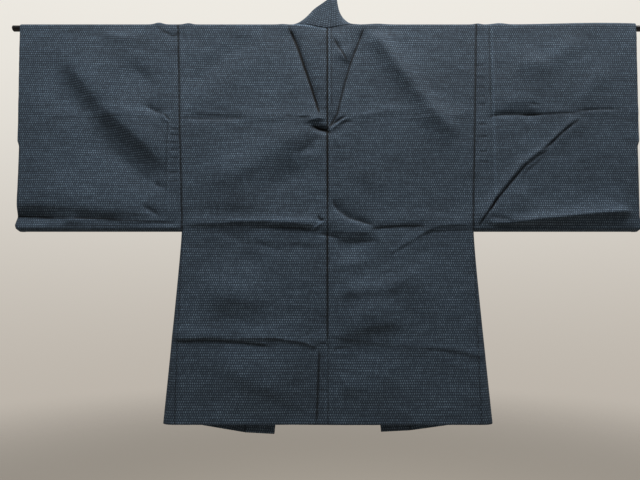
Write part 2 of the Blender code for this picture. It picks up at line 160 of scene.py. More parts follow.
def weave_group():
    """Colour and height of the cloth from its cut's own map, which is in metres."""
    group = bpy.data.node_groups.new("Fleck weave", "ShaderNodeTree")
    group.interface.new_socket("Dark", in_out="INPUT", socket_type="NodeSocketColor")
    group.interface.new_socket("Fleck", in_out="INPUT", socket_type="NodeSocketColor")
    group.interface.new_socket("Color", in_out="OUTPUT", socket_type="NodeSocketColor")
    group.interface.new_socket("Height", in_out="OUTPUT", socket_type="NodeSocketFloat")
    given = add_node(group, "NodeGroupInput").outputs
    result = add_node(group, "NodeGroupOutput")

    def sum_up(operation, *values):
        inputs = dict(enumerate(values))
        return add_node(group, "ShaderNodeMath", inputs, operation=operation).outputs["Value"]

    def ramp(value, start, end, low=0.0, high=1.0):
        inputs = {"Value": value, "From Min": start, "From Max": end, "To Min": low, "To Max": high}
        made = add_node(group, "ShaderNodeMapRange", inputs, interpolation_type="SMOOTHSTEP")
        return made.outputs["Result"]

    def off_centre(value):
        return sum_up("ABSOLUTE", sum_up("SUBTRACT", sum_up("FRACT", value), 0.5))

    def random_of(number, spread):
        made = add_node(group, "ShaderNodeTexWhiteNoise", {"W": number}, noise_dimensions="1D")
        return sum_up("MULTIPLY", made.outputs["Value"], spread)

    def stretched_noise(across, down, detail):
        scaled = add_node(
            group,
            "ShaderNodeVectorMath",
            {0: cut.outputs["UV"], 1: (across, down, 1.0)},
            operation="MULTIPLY",
        )
        inputs = {"Vector": scaled.outputs["Vector"], "Scale": 1.0, "Detail": detail}
        made = add_node(group, "ShaderNodeTexNoise", inputs, noise_dimensions="2D")
        return made.outputs["Fac"]

    def slow(change):
        noise = stretched_noise(change.across, change.down, change.detail)
        return ramp(noise, change.noise_from, change.noise_to, change.least, change.most)

    # plain weave: warp and weft take turns on top, each one round
    cut = add_node(group, "ShaderNodeUVMap", uv_map="cut")
    parts = add_node(group, "ShaderNodeSeparateXYZ", {"Vector": cut.outputs["UV"]}).outputs
    end = sum_up("DIVIDE", parts["X"], WARP_PITCH)
    pick = sum_up("DIVIDE", parts["Y"], WEFT_PITCH)
    end_number = sum_up("FLOOR", end)
    pick_number = sum_up("FLOOR", pick)
    turn = sum_up("FRACT", sum_up("MULTIPLY", sum_up("ADD", end_number, pick_number), 0.5))
    warp_on_top = sum_up("MULTIPLY", turn, 2.0)
    weft_on_top = sum_up("SUBTRACT", 1.0, warp_on_top)
    warp_round = sum_up("MULTIPLY", ramp(off_centre(end), 0.5, 0.0), warp_on_top)
    weft_round = sum_up("MULTIPLY", ramp(off_centre(pick), 0.5, 0.0), weft_on_top)
    woven = sum_up("ADD", warp_round, weft_round)

    # flecks: each a short upright in the warp with a shorter cross in the weft
    row = sum_up("DIVIDE", parts["Y"], FLECK_DOWN)
    row_number = sum_up("FLOOR", row)
    half_step = sum_up("FRACT", sum_up("MULTIPLY", row_number, 0.5))
    drift = random_of(row_number, ROW_DRIFT)
    wander = sum_up("MULTIPLY", stretched_noise(WANDER_ACROSS, WANDER_DOWN, 1.0), ROW_WANDER)
    shift = sum_up("ADD", sum_up("ADD", half_step, drift), wander)
    column = sum_up("ADD", sum_up("DIVIDE", parts["X"], FLECK_ACROSS), shift)
    cell = add_node(group, "ShaderNodeCombineXYZ", {"X": sum_up("FLOOR", column), "Y": row_number})
    cell_random = add_node(
        group,
        "ShaderNodeTexWhiteNoise",
        {"Vector": cell.outputs["Vector"]},
        noise_dimensions="2D",
    )
    slipped_row = sum_up("ADD", row, random_of(end_number, YARN_SLIP))
    slipped_column = sum_up("ADD", column, random_of(pick_number, YARN_SLIP))

    def bar_of(size, across, down):
        wide = ramp(off_centre(across), size.width_ends, size.width_full)
        high = ramp(off_centre(down), size.height_ends, size.height_full)
        return sum_up("MULTIPLY", wide, high)

    in_warp = bar_of(IN_WARP, column, slipped_row)
    in_weft = bar_of(IN_WEFT, slipped_column, row)
    warp_fleck = sum_up("MULTIPLY", in_warp, ramp(warp_on_top, 0.0, 1.0, UNDER_SHOWS, 1.0))
    weft_fleck = sum_up("MULTIPLY", in_weft, ramp(warp_on_top, 0.0, 1.0, 1.0, UNDER_SHOWS))
    shape = sum_up("MAXIMUM", warp_fleck, weft_fleck)
    strength = ramp(cell_random.outputs["Value"], 0.0, 1.0, WEAKEST_FLECK, 1.0)
    fleck = sum_up("MULTIPLY", sum_up("MULTIPLY", shape, strength), slow(FLECK_PATCHES))

    # round threads, with painted shade at their sides and a painted highlight on their crowns, slubs in both
    # directions and slow changes in the dye
    threads = ramp(woven, 0.0, 1.0, *THREAD_PAINTED_SHADING)
    for change in DYE_CHANGES:
        threads = sum_up("MULTIPLY", threads, slow(change))
    dyed = add_node(
        group,
        "ShaderNodeMix",
        {"Factor": fleck, "A": given["Dark"], "B": given["Fleck"]},
        data_type="RGBA",
    )
    shaded = add_node(
        group,
        "ShaderNodeVectorMath",
        {0: dyed.outputs["Result"], "Scale": threads},
        operation="SCALE",
    )
    group.links.new(shaded.outputs["Vector"], result.inputs["Color"])
    group.links.new(threads, result.inputs["Height"])
    return group


def painted_shade_factor(tree):
    """Share of the colour left by the shade attribute: below 1 where shade is painted, above 1 on painted
    highlights.
    """
    shade = add_node(tree, "ShaderNodeAttribute", attribute_name="shade").outputs["Fac"]
    dark = add_node(tree, "ShaderNodeMath", {0: shade, 1: 0.0}, operation="MAXIMUM").outputs["Value"]
    deepened = add_node(
        tree,
        "ShaderNodeMath",
        {0: dark, 1: GLOSS_OVER_SHADE, 2: shade},
        operation="MULTIPLY_ADD",
    )
    left = add_node(tree, "ShaderNodeMath", {0: 1.0, 1: deepened.outputs["Value"]}, operation="SUBTRACT")
    kept = add_node(tree, "ShaderNodeMath", {0: left.outputs["Value"], 1: LEAST_UNDER_PAINTED_SHADE}, operation="MAXIMUM")
    return kept.outputs["Value"]


indigo, tree, shader = new_material("indigo_cloth")
weave = add_node(
    tree,
    "ShaderNodeGroup",
    {"Dark": CLOTH_DARK, "Fleck": CLOTH_FLECK},
    node_tree=weave_group(),
)
# the weave's colour times the painted shade and painted highlights of the shade attribute
dyed = add_node(
    tree,
    "ShaderNodeVectorMath",
    {0: weave.outputs["Color"], "Scale": painted_shade_factor(tree)},
    operation="SCALE",
)
bump = add_node(
    tree,
    "ShaderNodeBump",
    {"Height": weave.outputs["Height"], "Strength": WEAVE_STRENGTH, "Distance": WEAVE_DEPTH},
)
tree.links.new(dyed.outputs["Vector"], shader.inputs["Base Color"])
tree.links.new(bump.outputs["Normal"], shader.inputs["Normal"])
shader.inputs["Roughness"].default_value = CLOTH_ROUGHNESS
shader.inputs["Specular IOR Level"].default_value = CLOTH_SPECULAR
shader.inputs["Sheen Weight"].default_value = CLOTH_SHEEN
shader.inputs["Sheen Roughness"].default_value = SHEEN_ROUGHNESS
shader.inputs["Sheen Tint"].default_value = SHEEN_TINT


# Body panels
# Left and right each one length of cloth from the back's hem over the shoulder to the front's hem. They
# meet at the centre back seam, which is pressed to the right. The hem is turned in and hemmed by hand.
CLOTH = 0.0015  # wall of the plain solid, whose outer face the cloth's lies on
HANG = 0.0072  # from the rod's axis to the inside of that wall
SHOULDER_HALF = 0.333
BACK_HALF = 0.3085
NECK_HALF = 0.080
FRONT_EDGE_AT_HEM = 0.170
BODY_DROP = 0.854
SLEEVE_DROP = 0.4595
NECKLINE_DIP = 0.0037
FRONT_POINT = {-1: 0.026, 1: 0.021}  # share by which a front runs lower at its collar, left and right
HEM_HALF_DEPTH = 0.0145
GUSSET_TOP = 0.4635
TOP_ROW = -0.012
TURN_RADIUS = 0.00075  # of an edge where it turns in at a seam or a hem
HEM_TURNED = 0.016
WALL = 0.0005  # thickness of the cloth that shows
TOP_OF_ROD = HANG * math.pi / 2  # from level with the rod's axis up to its top, along the cloth
OVER_ROD_STEPS = 12

# The large folds, on the same lines as in the solids: a soft ridge, or a trough where the lift is below 0
Fold = namedtuple("Fold", "layer x0 z0 x1 z1 half_width lift")
FOLDS = (
    Fold("back", -0.600, -0.206, -0.366, -0.206, 0.014, 0.0012),
    Fold("back", -0.305, -0.206, -0.025, -0.208, 0.014, 0.0014),
    Fold("back", 0.030, -0.210, 0.137, -0.197, 0.014, 0.0012),
    Fold("back", 0.137, -0.197, 0.305, -0.202, 0.014, 0.0009),
    Fold("back", 0.369, -0.196, 0.678, -0.196, 0.014, 0.0008),
    Fold("back", -0.305, -0.441, -0.003, -0.439, 0.014, 0.0016),
    Fold("back", 0.003, -0.440, 0.300, -0.438, 0.014, 0.0018),
    Fold("back", -0.320, -0.675, -0.120, -0.671, 0.016, 0.0022),
    Fold("back", -0.120, -0.671, -0.010, -0.687, 0.014, 0.0018),
    Fold("back", 0.005, -0.670, 0.120, -0.684, 0.014, 0.0012),
    Fold("back", 0.120, -0.692, 0.315, -0.718, 0.016, 0.0014),
    Fold("back", -0.086, -0.010, -0.012, -0.205, 0.018, -0.0020),
    Fold("back", 0.080, -0.012, 0.006, -0.235, 0.018, -0.0020),
    Fold("back", 0.098, -0.010, 0.205, -0.185, 0.026, -0.0012),
    Fold("back", -0.040, -0.226, 0.040, -0.216, 0.014, -0.0010),
    Fold("back", 0.128, -0.505, 0.212, -0.458, 0.014, 0.0006),
    Fold("back", 0.212, -0.458, 0.300, -0.440, 0.014, 0.0006),
    Fold("back", -0.589, -0.067, -0.461, -0.228, 0.026, -0.0018),
    Fold("back", -0.461, -0.228, -0.359, -0.326, 0.026, -0.0018),
    Fold("back", -0.640, -0.413, -0.346, -0.426, 0.012, -0.0010),
    Fold("back", 0.330, -0.425, 0.422, -0.315, 0.015, 0.0020),
    Fold("back", 0.422, -0.315, 0.547, -0.227, 0.015, 0.0020),
    Fold("back", 0.401, -0.440, 0.628, -0.420, 0.012, 0.0028),
    Fold("front", -0.640, -0.204, -0.110, -0.208, 0.014, 0.0018),
    Fold("front", 0.110, -0.206, 0.650, -0.202, 0.014, 0.0018),
    Fold("front", -0.300, -0.440, -0.130, -0.436, 0.014, 0.0026),
    Fold("front", 0.130, -0.438, 0.300, -0.444, 0.014, 0.0024),
    Fold("front", -0.305, -0.690, -0.160, -0.680, 0.016, 0.0024),
    Fold("front", 0.160, -0.684, 0.305, -0.694, 0.016, 0.0024),
    Fold("front", -0.560, -0.100, -0.400, -0.300, 0.026, -0.0016),
    Fold("front", 0.400, -0.320, 0.560, -0.150, 0.022, 0.0022),
)
FOLD_FADE = 0.030  # the relief dies out over this length towards the rod
FOLD_MOST = 0.0045  # where large folds cross, they add up to no more than this

# The sharper creases. Each follows its path of (x, z) points from left to right, and falls off over one
# width above the line and another below it. A lift below 0 makes it a trough. Shade is painted onto the
# cloth's colour: painted shade that makes the line itself darker, or, below 0, a painted highlight that
# makes it paler.
Crease = namedtuple("Crease", "layer path above below lift shade")
CREASES = (
    # upper back: tension lines from the neck to the centre seam, the pucker where they meet, and the folds
    # that run out from there
    Crease("back", ((-0.088, 0.003), (-0.064, -0.047), (-0.047, -0.103), (-0.032, -0.149),
                    (-0.015, -0.208)), 0.0030, 0.0022, -0.0030, 0.80),
    Crease("back", ((-0.083, -0.004), (-0.063, -0.060), (-0.040, -0.128), (-0.027, -0.169),
                    (-0.018, -0.201)), 0.0020, 0.0020, -0.0008, 0.55),
    Crease("back", ((0.001, -0.237), (0.021, -0.204), (0.034, -0.149), (0.051, -0.087), (0.083, 0.000)),
           0.0030, 0.0030, -0.0024, 0.70),
    Crease("back", ((0.011, -0.022), (0.032, -0.060), (0.048, -0.088)), 0.0022, 0.0022, -0.0022, 0.68),
    Crease("back", ((0.022, -0.051), (0.039, -0.077), (0.055, -0.086)), 0.0160, 0.0060, 0.0034, 0.00),
    Crease("back", ((0.082, 0.010), (0.111, -0.028), (0.145, -0.082), (0.182, -0.131), (0.211, -0.174),
                    (0.255, -0.224), (0.291, -0.266)), 0.0170, 0.0130, 0.0086, 0.00),
    Crease("back", ((0.086, 0.000), (0.117, -0.042), (0.156, -0.098), (0.186, -0.140)),
           0.0100, 0.0140, 0.0018, 0.00),
    Crease("back", ((0.177, -0.165), (0.236, -0.233), (0.303, -0.318)), 0.0220, 0.0160, 0.0028, 0.00),
    Crease("back", ((0.038, -0.300), (0.102, -0.348), (0.155, -0.403)), 0.0200, 0.0180, 0.0018, 0.00),
    Crease("back", ((-0.332, -0.155), (-0.248, -0.086), (-0.145, -0.013)), 0.0200, 0.0160, -0.0045, 0.00),
    Crease("back", ((-0.277, -0.375), (-0.205, -0.335), (-0.133, -0.294), (-0.068, -0.253),
                    (-0.012, -0.215)), 0.0260, 0.0260, 0.0088, 0.00),
    Crease("back", ((-0.325, -0.213), (-0.255, -0.214), (-0.175, -0.213)), 0.0100, 0.0035, -0.0030, 0.30),
    Crease("back", ((-0.080, -0.024), (0.000, -0.022), (0.080, -0.024)), 0.0200, 0.0900, 0.0034, 0.00),
    Crease("back", ((-0.008, -0.246), (-0.030, -0.262), (-0.058, -0.288)), 0.0100, 0.0080, -0.0034, 0.10),
    Crease("back", ((-0.154, -0.387), (-0.097, -0.354), (-0.054, -0.330), (-0.009, -0.316)),
           0.0180, 0.0200, -0.0050, 0.00),
    Crease("back", ((-0.076, -0.298), (-0.048, -0.284), (-0.012, -0.275)), 0.0080, 0.0060, -0.0030, 0.00),
    Crease("back", ((0.006, -0.246), (0.020, -0.262), (0.030, -0.284)), 0.0040, 0.0040, 0.0016, 0.00),
    Crease("back", ((-0.055, -0.226), (-0.040, -0.219), (-0.020, -0.213), (0.006, -0.213)),
           0.0080, 0.0040, 0.0040, -0.25),
    Crease("back", ((-0.042, -0.233), (-0.025, -0.231), (-0.007, -0.235), (0.012, -0.249)),
           0.0030, 0.0080, -0.0056, 0.60),
    Crease("back", ((-0.032, -0.234), (-0.010, -0.237), (0.012, -0.246)), 0.0030, 0.0080, -0.0010, 0.45),
    Crease("back", ((-0.002, -0.243), (0.012, -0.234), (0.028, -0.221), (0.050, -0.207)),
           0.0020, 0.0050, 0.0040, -0.40),
    Crease("back", ((0.004, -0.232), (0.016, -0.222), (0.030, -0.213), (0.046, -0.206)),
           0.0020, 0.0020, -0.0028, 0.55),
    Crease("back", ((0.024, -0.230), (0.042, -0.221), (0.060, -0.220)), 0.0030, 0.0040, -0.0014, 0.20),
    Crease("back", ((-0.103, -0.208), (-0.064, -0.210), (-0.029, -0.213)), 0.0018, 0.0030, -0.0010, 0.34),
    Crease("back", ((-0.082, -0.212), (-0.050, -0.206), (-0.018, -0.208)), 0.0024, 0.0030, 0.0012, -0.18),
    Crease("back", ((-0.001, -0.228), (-0.000, -0.315), (-0.000, -0.405)), 0.0030, 0.0030, -0.0018, 0.45),
    Crease("back", ((-0.036, -0.230), (-0.014, -0.237), (0.008, -0.240)), 0.0040, 0.0060, -0.0020, 0.50),
    Crease("back", ((-0.306, -0.403), (-0.208, -0.401), (-0.118, -0.405)), 0.0200, 0.0100, 0.0026, 0.00),
    Crease("back", ((-0.300, -0.187), (-0.210, -0.123), (-0.094, -0.034)), 0.0160, 0.0200, 0.0012, 0.00),
    Crease("back", ((-0.305, -0.204), (-0.220, -0.208), (-0.150, -0.209)), 0.0020, 0.0060, -0.0008, 0.06),
    Crease("back", ((0.045, -0.206), (0.090, -0.203), (0.132, -0.197)), 0.0018, 0.0060, 0.0008, -0.08),
    Crease("back", ((0.137, -0.212), (0.200, -0.212), (0.305, -0.205)), 0.0018, 0.0050, 0.0006, -0.06),
    # middle of the back: the fold level with the bottom of the sleeves
    Crease("back", ((-0.309, -0.446), (-0.192, -0.442), (-0.107, -0.440), (-0.029, -0.444),
                    (-0.002, -0.439)), 0.0100, 0.0045, 0.0022, -0.26),
    Crease("back", ((-0.224, -0.439), (-0.139, -0.438), (-0.058, -0.438), (-0.010, -0.440)),
           0.0030, 0.0030, 0.0016, -0.30),
    Crease("back", ((-0.140, -0.446), (-0.080, -0.445), (-0.035, -0.449), (-0.016, -0.456)),
           0.0050, 0.0050, 0.0034, 0.00),
    Crease("back", ((-0.170, -0.453), (-0.100, -0.452), (-0.055, -0.455), (-0.020, -0.462)),
           0.0040, 0.0060, -0.0016, 0.30),
    Crease("back", ((-0.024, -0.424), (-0.014, -0.437), (-0.002, -0.434)), 0.0020, 0.0040, -0.0030, 0.65),
    Crease("back", ((-0.024, -0.463), (0.005, -0.471), (0.037, -0.476)), 0.0060, 0.0040, -0.0030, 0.40),
    Crease("back", ((-0.038, -0.462), (-0.014, -0.444), (-0.002, -0.436)), 0.0018, 0.0036, 0.0024, -0.42),
    Crease("back", ((-0.160, -0.482), (-0.127, -0.492), (-0.111, -0.499), (-0.085, -0.498)),
           0.0022, 0.0060, -0.0018, 0.05),
    Crease("back", ((-0.100, -0.492), (-0.050, -0.494), (0.000, -0.492)), 0.0030, 0.0110, -0.0018, 0.10),
    Crease("back", ((0.001, -0.457), (0.048, -0.463), (0.107, -0.461)), 0.0100, 0.0060, 0.0024, 0.00),
    Crease("back", ((0.001, -0.478), (0.047, -0.485), (0.113, -0.480)), 0.0070, 0.0120, -0.0048, 0.28),
    Crease("back", ((-0.217, -0.463), (-0.185, -0.480), (-0.147, -0.500)), 0.0060, 0.0060, -0.0012, 0.12),
    Crease("back", ((-0.303, -0.495), (-0.206, -0.495)), 0.0020, 0.0060, -0.0008, 0.08),
    Crease("back", ((0.004, -0.490), (0.030, -0.496), (0.070, -0.505)), 0.0060, 0.0120, -0.0016, 0.00),
    Crease("back", ((0.007, -0.390), (0.022, -0.413), (0.046, -0.431), (0.105, -0.450)),
           0.0080, 0.0040, -0.0054, 0.55),
    Crease("back", ((0.006, -0.306), (0.023, -0.309), (0.044, -0.306)), 0.0020, 0.0030, -0.0008, 0.16),
    Crease("back", ((-0.068, -0.302), (-0.038, -0.305), (-0.012, -0.306)), 0.0020, 0.0030, -0.0008, 0.20),
    Crease("back", ((0.086, -0.457), (0.118, -0.453), (0.150, -0.451), (0.212, -0.450)),
           0.0022, 0.0060, -0.0020, 0.50),
    Crease("back", ((0.118, -0.512), (0.160, -0.488), (0.190, -0.470), (0.212, -0.458), (0.235, -0.449),
                    (0.260, -0.446), (0.310, -0.445)), 0.0065, 0.0028, 0.0012, -0.40),
    Crease("back", ((0.126, -0.514), (0.165, -0.491), (0.195, -0.474)), 0.0018, 0.0040, -0.0010, 0.12),
    Crease("back", ((0.185, -0.480), (0.216, -0.463), (0.260, -0.460), (0.312, -0.459)),
           0.0018, 0.0040, -0.0008, 0.15),
    Crease("back", ((0.125, -0.545), (0.150, -0.530), (0.175, -0.522)), 0.0040, 0.0030, 0.0012, -0.05),
    # lower back: the fold at four fifths of the length, broken at the centre seam
    Crease("back", ((-0.322, -0.685), (-0.245, -0.682), (-0.170, -0.687), (-0.110, -0.696)),
           0.0090, 0.0034, 0.0026, -0.28),
    Crease("back", ((-0.322, -0.690), (-0.245, -0.687), (-0.170, -0.692), (-0.110, -0.701)),
           0.0020, 0.0060, -0.0014, 0.32),
    Crease("back", ((-0.190, -0.683), (-0.110, -0.683), (-0.050, -0.692), (-0.014, -0.706)),
           0.0060, 0.0030, 0.0022, 0.36),
    Crease("back", ((-0.064, -0.682), (-0.033, -0.672), (-0.003, -0.664)), 0.0030, 0.0030, -0.0014, 0.18),
    Crease("back", ((0.003, -0.678), (0.060, -0.686), (0.125, -0.694)), 0.0070, 0.0028, 0.0010, -0.10),
    Crease("back", ((0.005, -0.714), (0.020, -0.705), (0.048, -0.700)), 0.0030, 0.0040, -0.0014, 0.15),
    Crease("back", ((0.120, -0.693), (0.184, -0.700), (0.226, -0.702), (0.279, -0.710), (0.326, -0.726)),
           0.0070, 0.0030, 0.0008, 0.00),
    Crease("back", ((0.184, -0.705), (0.226, -0.708), (0.279, -0.716), (0.326, -0.732)),
           0.0018, 0.0050, -0.0008, 0.10),
    Crease("back", ((0.200, -0.724), (0.260, -0.737), (0.320, -0.758)), 0.0050, 0.0050, 0.0010, 0.00),
    # broad soft swells between the middle fold, the lower one and the hem
    Crease("back", ((-0.188, -0.501), (-0.159, -0.524), (-0.129, -0.556)), 0.0120, 0.0120, -0.0020, 0.00),
    Crease("back", ((-0.278, -0.575), (-0.193, -0.598), (-0.099, -0.617)), 0.0300, 0.0180, 0.0080, 0.00),
    Crease("back", ((-0.089, -0.567), (-0.020, -0.563)), 0.0080, 0.0080, 0.0008, 0.00),
    Crease("back", ((0.009, -0.587), (0.063, -0.587), (0.126, -0.578), (0.172, -0.564)),
           0.0120, 0.0100, 0.0050, 0.00),
    Crease("back", ((0.001, -0.525), (0.043, -0.529), (0.085, -0.525)), 0.0080, 0.0100, 0.0030, 0.00),
    Crease("back", ((0.137, -0.573), (0.183, -0.577), (0.231, -0.583)), 0.0200, 0.0200, 0.0026, 0.00),
    Crease("back", ((0.005, -0.642), (0.050, -0.640), (0.108, -0.630), (0.175, -0.611)),
           0.0200, 0.0160, 0.0075, 0.00),
    Crease("back", ((0.007, -0.663), (0.056, -0.663), (0.118, -0.654), (0.170, -0.638)),
           0.0160, 0.0140, 0.0075, 0.00),
    Crease("back", ((0.057, -0.641), (0.109, -0.604), (0.152, -0.563), (0.205, -0.525)),
           0.0120, 0.0120, 0.0026, 0.00),
    Crease("back", ((-0.240, -0.691), (-0.182, -0.742), (-0.120, -0.787), (-0.048, -0.838)),
           0.0400, 0.0260, 0.0090, 0.00),
    Crease("back", ((-0.149, -0.782), (-0.042, -0.841)), 0.0080, 0.0100, -0.0012, 0.00),
    Crease("back", ((0.015, -0.780), (0.045, -0.778), (0.078, -0.784)), 0.0100, 0.0120, 0.0036, 0.00),
    Crease("back", ((0.055, -0.826), (0.107, -0.763), (0.163, -0.700)), 0.0400, 0.0180, 0.0038, 0.00),
    # left sleeve: a broad fold from the top's outer part to the seam, the bottom's fold, and the edge of the
    # seam's allowance, which shows through
    Crease("back", ((-0.620, -0.020), (-0.586, -0.062), (-0.534, -0.128), (-0.505, -0.164), (-0.474, -0.194),
                    (-0.440, -0.226), (-0.406, -0.258), (-0.374, -0.292), (-0.310, -0.345)),
           0.0380, 0.0150, 0.0068, 0.00),
    Crease("back", ((-0.630, -0.060), (-0.602, -0.100), (-0.554, -0.153), (-0.527, -0.186), (-0.500, -0.222),
                    (-0.470, -0.256), (-0.434, -0.288), (-0.401, -0.321), (-0.340, -0.372)),
           0.0140, 0.0320, -0.0064, 0.00),
    Crease("back", ((-0.515, -0.167), (-0.453, -0.219), (-0.394, -0.271), (-0.334, -0.324)),
           0.0200, 0.0120, 0.0044, 0.00),
    Crease("back", ((-0.521, -0.214), (-0.467, -0.280), (-0.409, -0.333), (-0.344, -0.383)),
           0.0100, 0.0200, -0.0044, 0.00),
    Crease("back", ((-0.519, -0.001), (-0.466, -0.020), (-0.412, -0.044)), 0.0200, 0.0120, 0.0038, 0.00),
    Crease("back", ((-0.455, -0.080), (-0.430, -0.098), (-0.400, -0.124), (-0.371, -0.149)),
           0.0110, 0.0300, -0.0050, 0.00),
    Crease("back", ((-0.402, -0.401), (-0.378, -0.414), (-0.350, -0.433)), 0.0050, 0.0060, -0.0032, 0.30),
    Crease("back", ((-0.657, -0.368), (-0.592, -0.372), (-0.506, -0.385)), 0.0200, 0.0120, 0.0030, 0.00),
    Crease("back", ((-0.380, -0.353), (-0.362, -0.361), (-0.345, -0.368)), 0.0040, 0.0050, -0.0028, 0.30),
    Crease("back", ((-0.569, -0.438), (-0.484, -0.435), (-0.420, -0.440), (-0.326, -0.440)),
           0.0080, 0.0050, 0.0036, 0.00),
    Crease("back", ((-0.566, -0.450), (-0.492, -0.448), (-0.410, -0.451)), 0.0020, 0.0020, -0.0004, 0.34),
    Crease("back", ((-0.710, -0.425), (-0.612, -0.429), (-0.569, -0.432), (-0.485, -0.433),
                    (-0.420, -0.438), (-0.320, -0.443)), 0.0070, 0.0080, -0.0032, 0.40),
    Crease("back", ((-0.690, -0.426), (-0.640, -0.430), (-0.575, -0.433)), 0.0070, 0.0080, -0.0034, 0.35),
    Crease("back", ((-0.545, -0.430), (-0.490, -0.434), (-0.430, -0.439)), 0.0080, 0.0080, -0.0034, 0.30),
    Crease("back", ((-0.785, -0.401), (-0.661, -0.404), (-0.571, -0.406), (-0.485, -0.415),
                    (-0.400, -0.419), (-0.304, -0.425)), 0.0300, 0.0100, 0.0052, 0.00),
    Crease("back", ((-0.569, -0.086), (-0.526, -0.142), (-0.484, -0.187)), 0.0200, 0.0100, 0.0030, 0.00),
    Crease("back", ((-0.589, -0.119), (-0.550, -0.178), (-0.508, -0.228)), 0.0100, 0.0200, -0.0030, 0.00),
    Crease("back", ((-0.402, -0.181), (-0.375, -0.196), (-0.349, -0.206)), 0.0060, 0.0080, -0.0050, 0.35),
    Crease("back", ((-0.362, -0.203), (-0.352, -0.216), (-0.338, -0.226)), 0.0018, 0.0018, 0.0016, -0.25),
    Crease("back", ((-0.358, -0.200), (-0.348, -0.212), (-0.335, -0.221)), 0.0016, 0.0016, -0.0012, 0.45),
    Crease("back", ((-0.620, -0.212), (-0.480, -0.210), (-0.366, -0.211)), 0.0016, 0.0040, -0.0006, 0.04),
    Crease("back", ((-0.384, 0.006), (-0.362, -0.012), (-0.345, -0.022), (-0.322, -0.014)),
           0.0024, 0.0040, -0.0022, 0.45),
    Crease("back", ((-0.344, -0.380), (-0.345, -0.280), (-0.344, -0.200)), 0.0012, 0.0018, 0.0010, 0.30),
    Crease("back", ((-0.341, -0.440), (-0.344, -0.330), (-0.343, -0.180)), 0.0012, 0.0016, 0.0008, -0.16),
    # right sleeve: the allowance's edge, the fold across the middle, the thin ones that rise outwards from
    # the seam's foot, and the bottom's broad one
    Crease("back", ((0.359, -0.394), (0.361, -0.317), (0.363, -0.201), (0.366, -0.061), (0.367, 0.005)),
           0.0014, 0.0020, 0.0018, -0.45),
    Crease("back", ((0.357, -0.201), (0.360, -0.061), (0.361, 0.005)), 0.0014, 0.0020, -0.0008, 0.30),
    Crease("back", ((0.345, -0.212), (0.363, -0.206), (0.387, -0.203), (0.417, -0.203), (0.474, -0.204)),
           0.0050, 0.0040, -0.0030, 0.55),
    Crease("back", ((0.352, -0.181), (0.378, -0.176), (0.422, -0.174), (0.483, -0.183)),
           0.0200, 0.0090, 0.0028, 0.00),
    Crease("back", ((0.417, -0.206), (0.450, -0.204), (0.483, -0.203), (0.520, -0.201), (0.550, -0.199)),
           0.0020, 0.0030, -0.0014, 0.28),
    Crease("back", ((0.575, -0.181), (0.637, -0.178)), 0.0030, 0.0030, -0.0008, 0.12),
    Crease("back", ((0.400, -0.093), (0.460, -0.088), (0.520, -0.097)), 0.0140, 0.0180, 0.0044, 0.00),
    Crease("back", ((0.480, -0.089), (0.526, -0.061), (0.584, -0.023)), 0.0160, 0.0180, 0.0034, 0.00),
    Crease("back", ((0.539, -0.197), (0.577, -0.142), (0.621, -0.077)), 0.0140, 0.0140, 0.0026, 0.00),
    Crease("back", ((0.478, -0.273), (0.510, -0.246), (0.552, -0.201)), 0.0100, 0.0160, 0.0024, 0.00),
    Crease("back", ((0.382, -0.379), (0.412, -0.379), (0.444, -0.383)), 0.0100, 0.0140, 0.0036, 0.00),
    Crease("back", ((0.363, -0.405), (0.399, -0.407), (0.441, -0.409)), 0.0140, 0.0100, 0.0030, 0.00),
    Crease("back", ((0.337, -0.427), (0.367, -0.433), (0.398, -0.440)), 0.0040, 0.0050, -0.0024, 0.25),
    Crease("back", ((0.324, -0.440), (0.360, -0.448)), 0.0030, 0.0040, -0.0012, 0.15),
    Crease("back", ((0.540, -0.197), (0.590, -0.193), (0.645, -0.192)), 0.0034, 0.0016, -0.0020, 0.34),
    Crease("back", ((0.434, -0.181), (0.451, -0.180), (0.470, -0.185)), 0.0030, 0.0030, -0.0018, 0.30),
    Crease("back", ((0.316, -0.450), (0.334, -0.424), (0.359, -0.387), (0.389, -0.350), (0.420, -0.315),
                    (0.449, -0.292), (0.481, -0.272)), 0.0070, 0.0020, 0.0018, 0.00),
    Crease("back", ((0.343, -0.420), (0.361, -0.392), (0.393, -0.355), (0.422, -0.322), (0.451, -0.300),
                    (0.482, -0.280)), 0.0016, 0.0030, -0.0024, 0.62),
    Crease("back", ((0.315, -0.457), (0.332, -0.433), (0.352, -0.405), (0.368, -0.383)),
           0.0014, 0.0024, -0.0018, 0.40),
    Crease("back", ((0.406, -0.337), (0.440, -0.309), (0.478, -0.282)), 0.0014, 0.0024, 0.0012, -0.20),
    Crease("back", ((0.416, -0.342), (0.444, -0.318), (0.478, -0.290)), 0.0014, 0.0024, -0.0010, 0.25),
    Crease("back", ((0.458, -0.282), (0.479, -0.268), (0.505, -0.242), (0.534, -0.218), (0.549, -0.208)),
           0.0060, 0.0020, 0.0014, 0.00),
    Crease("back", ((0.460, -0.286), (0.481, -0.272), (0.508, -0.246), (0.537, -0.223), (0.554, -0.211)),
           0.0014, 0.0028, -0.0018, 0.50),
    Crease("back", ((0.469, -0.293), (0.510, -0.258), (0.549, -0.217)), 0.0120, 0.0120, -0.0020, 0.00),
    Crease("back", ((0.320, -0.458), (0.401, -0.441), (0.493, -0.430), (0.566, -0.422), (0.622, -0.419),
                    (0.660, -0.420)), 0.0170, 0.0130, 0.0052, 0.00),
    Crease("back", ((0.380, -0.446), (0.450, -0.435), (0.566, -0.423), (0.630, -0.419), (0.652, -0.419)),
           0.0060, 0.0040, 0.0030, 0.00),
    # the centre seam's lower part: its line of painted shade steps to the left below the last fold, and a
    # painted highlight runs along the fold that is pressed beside it
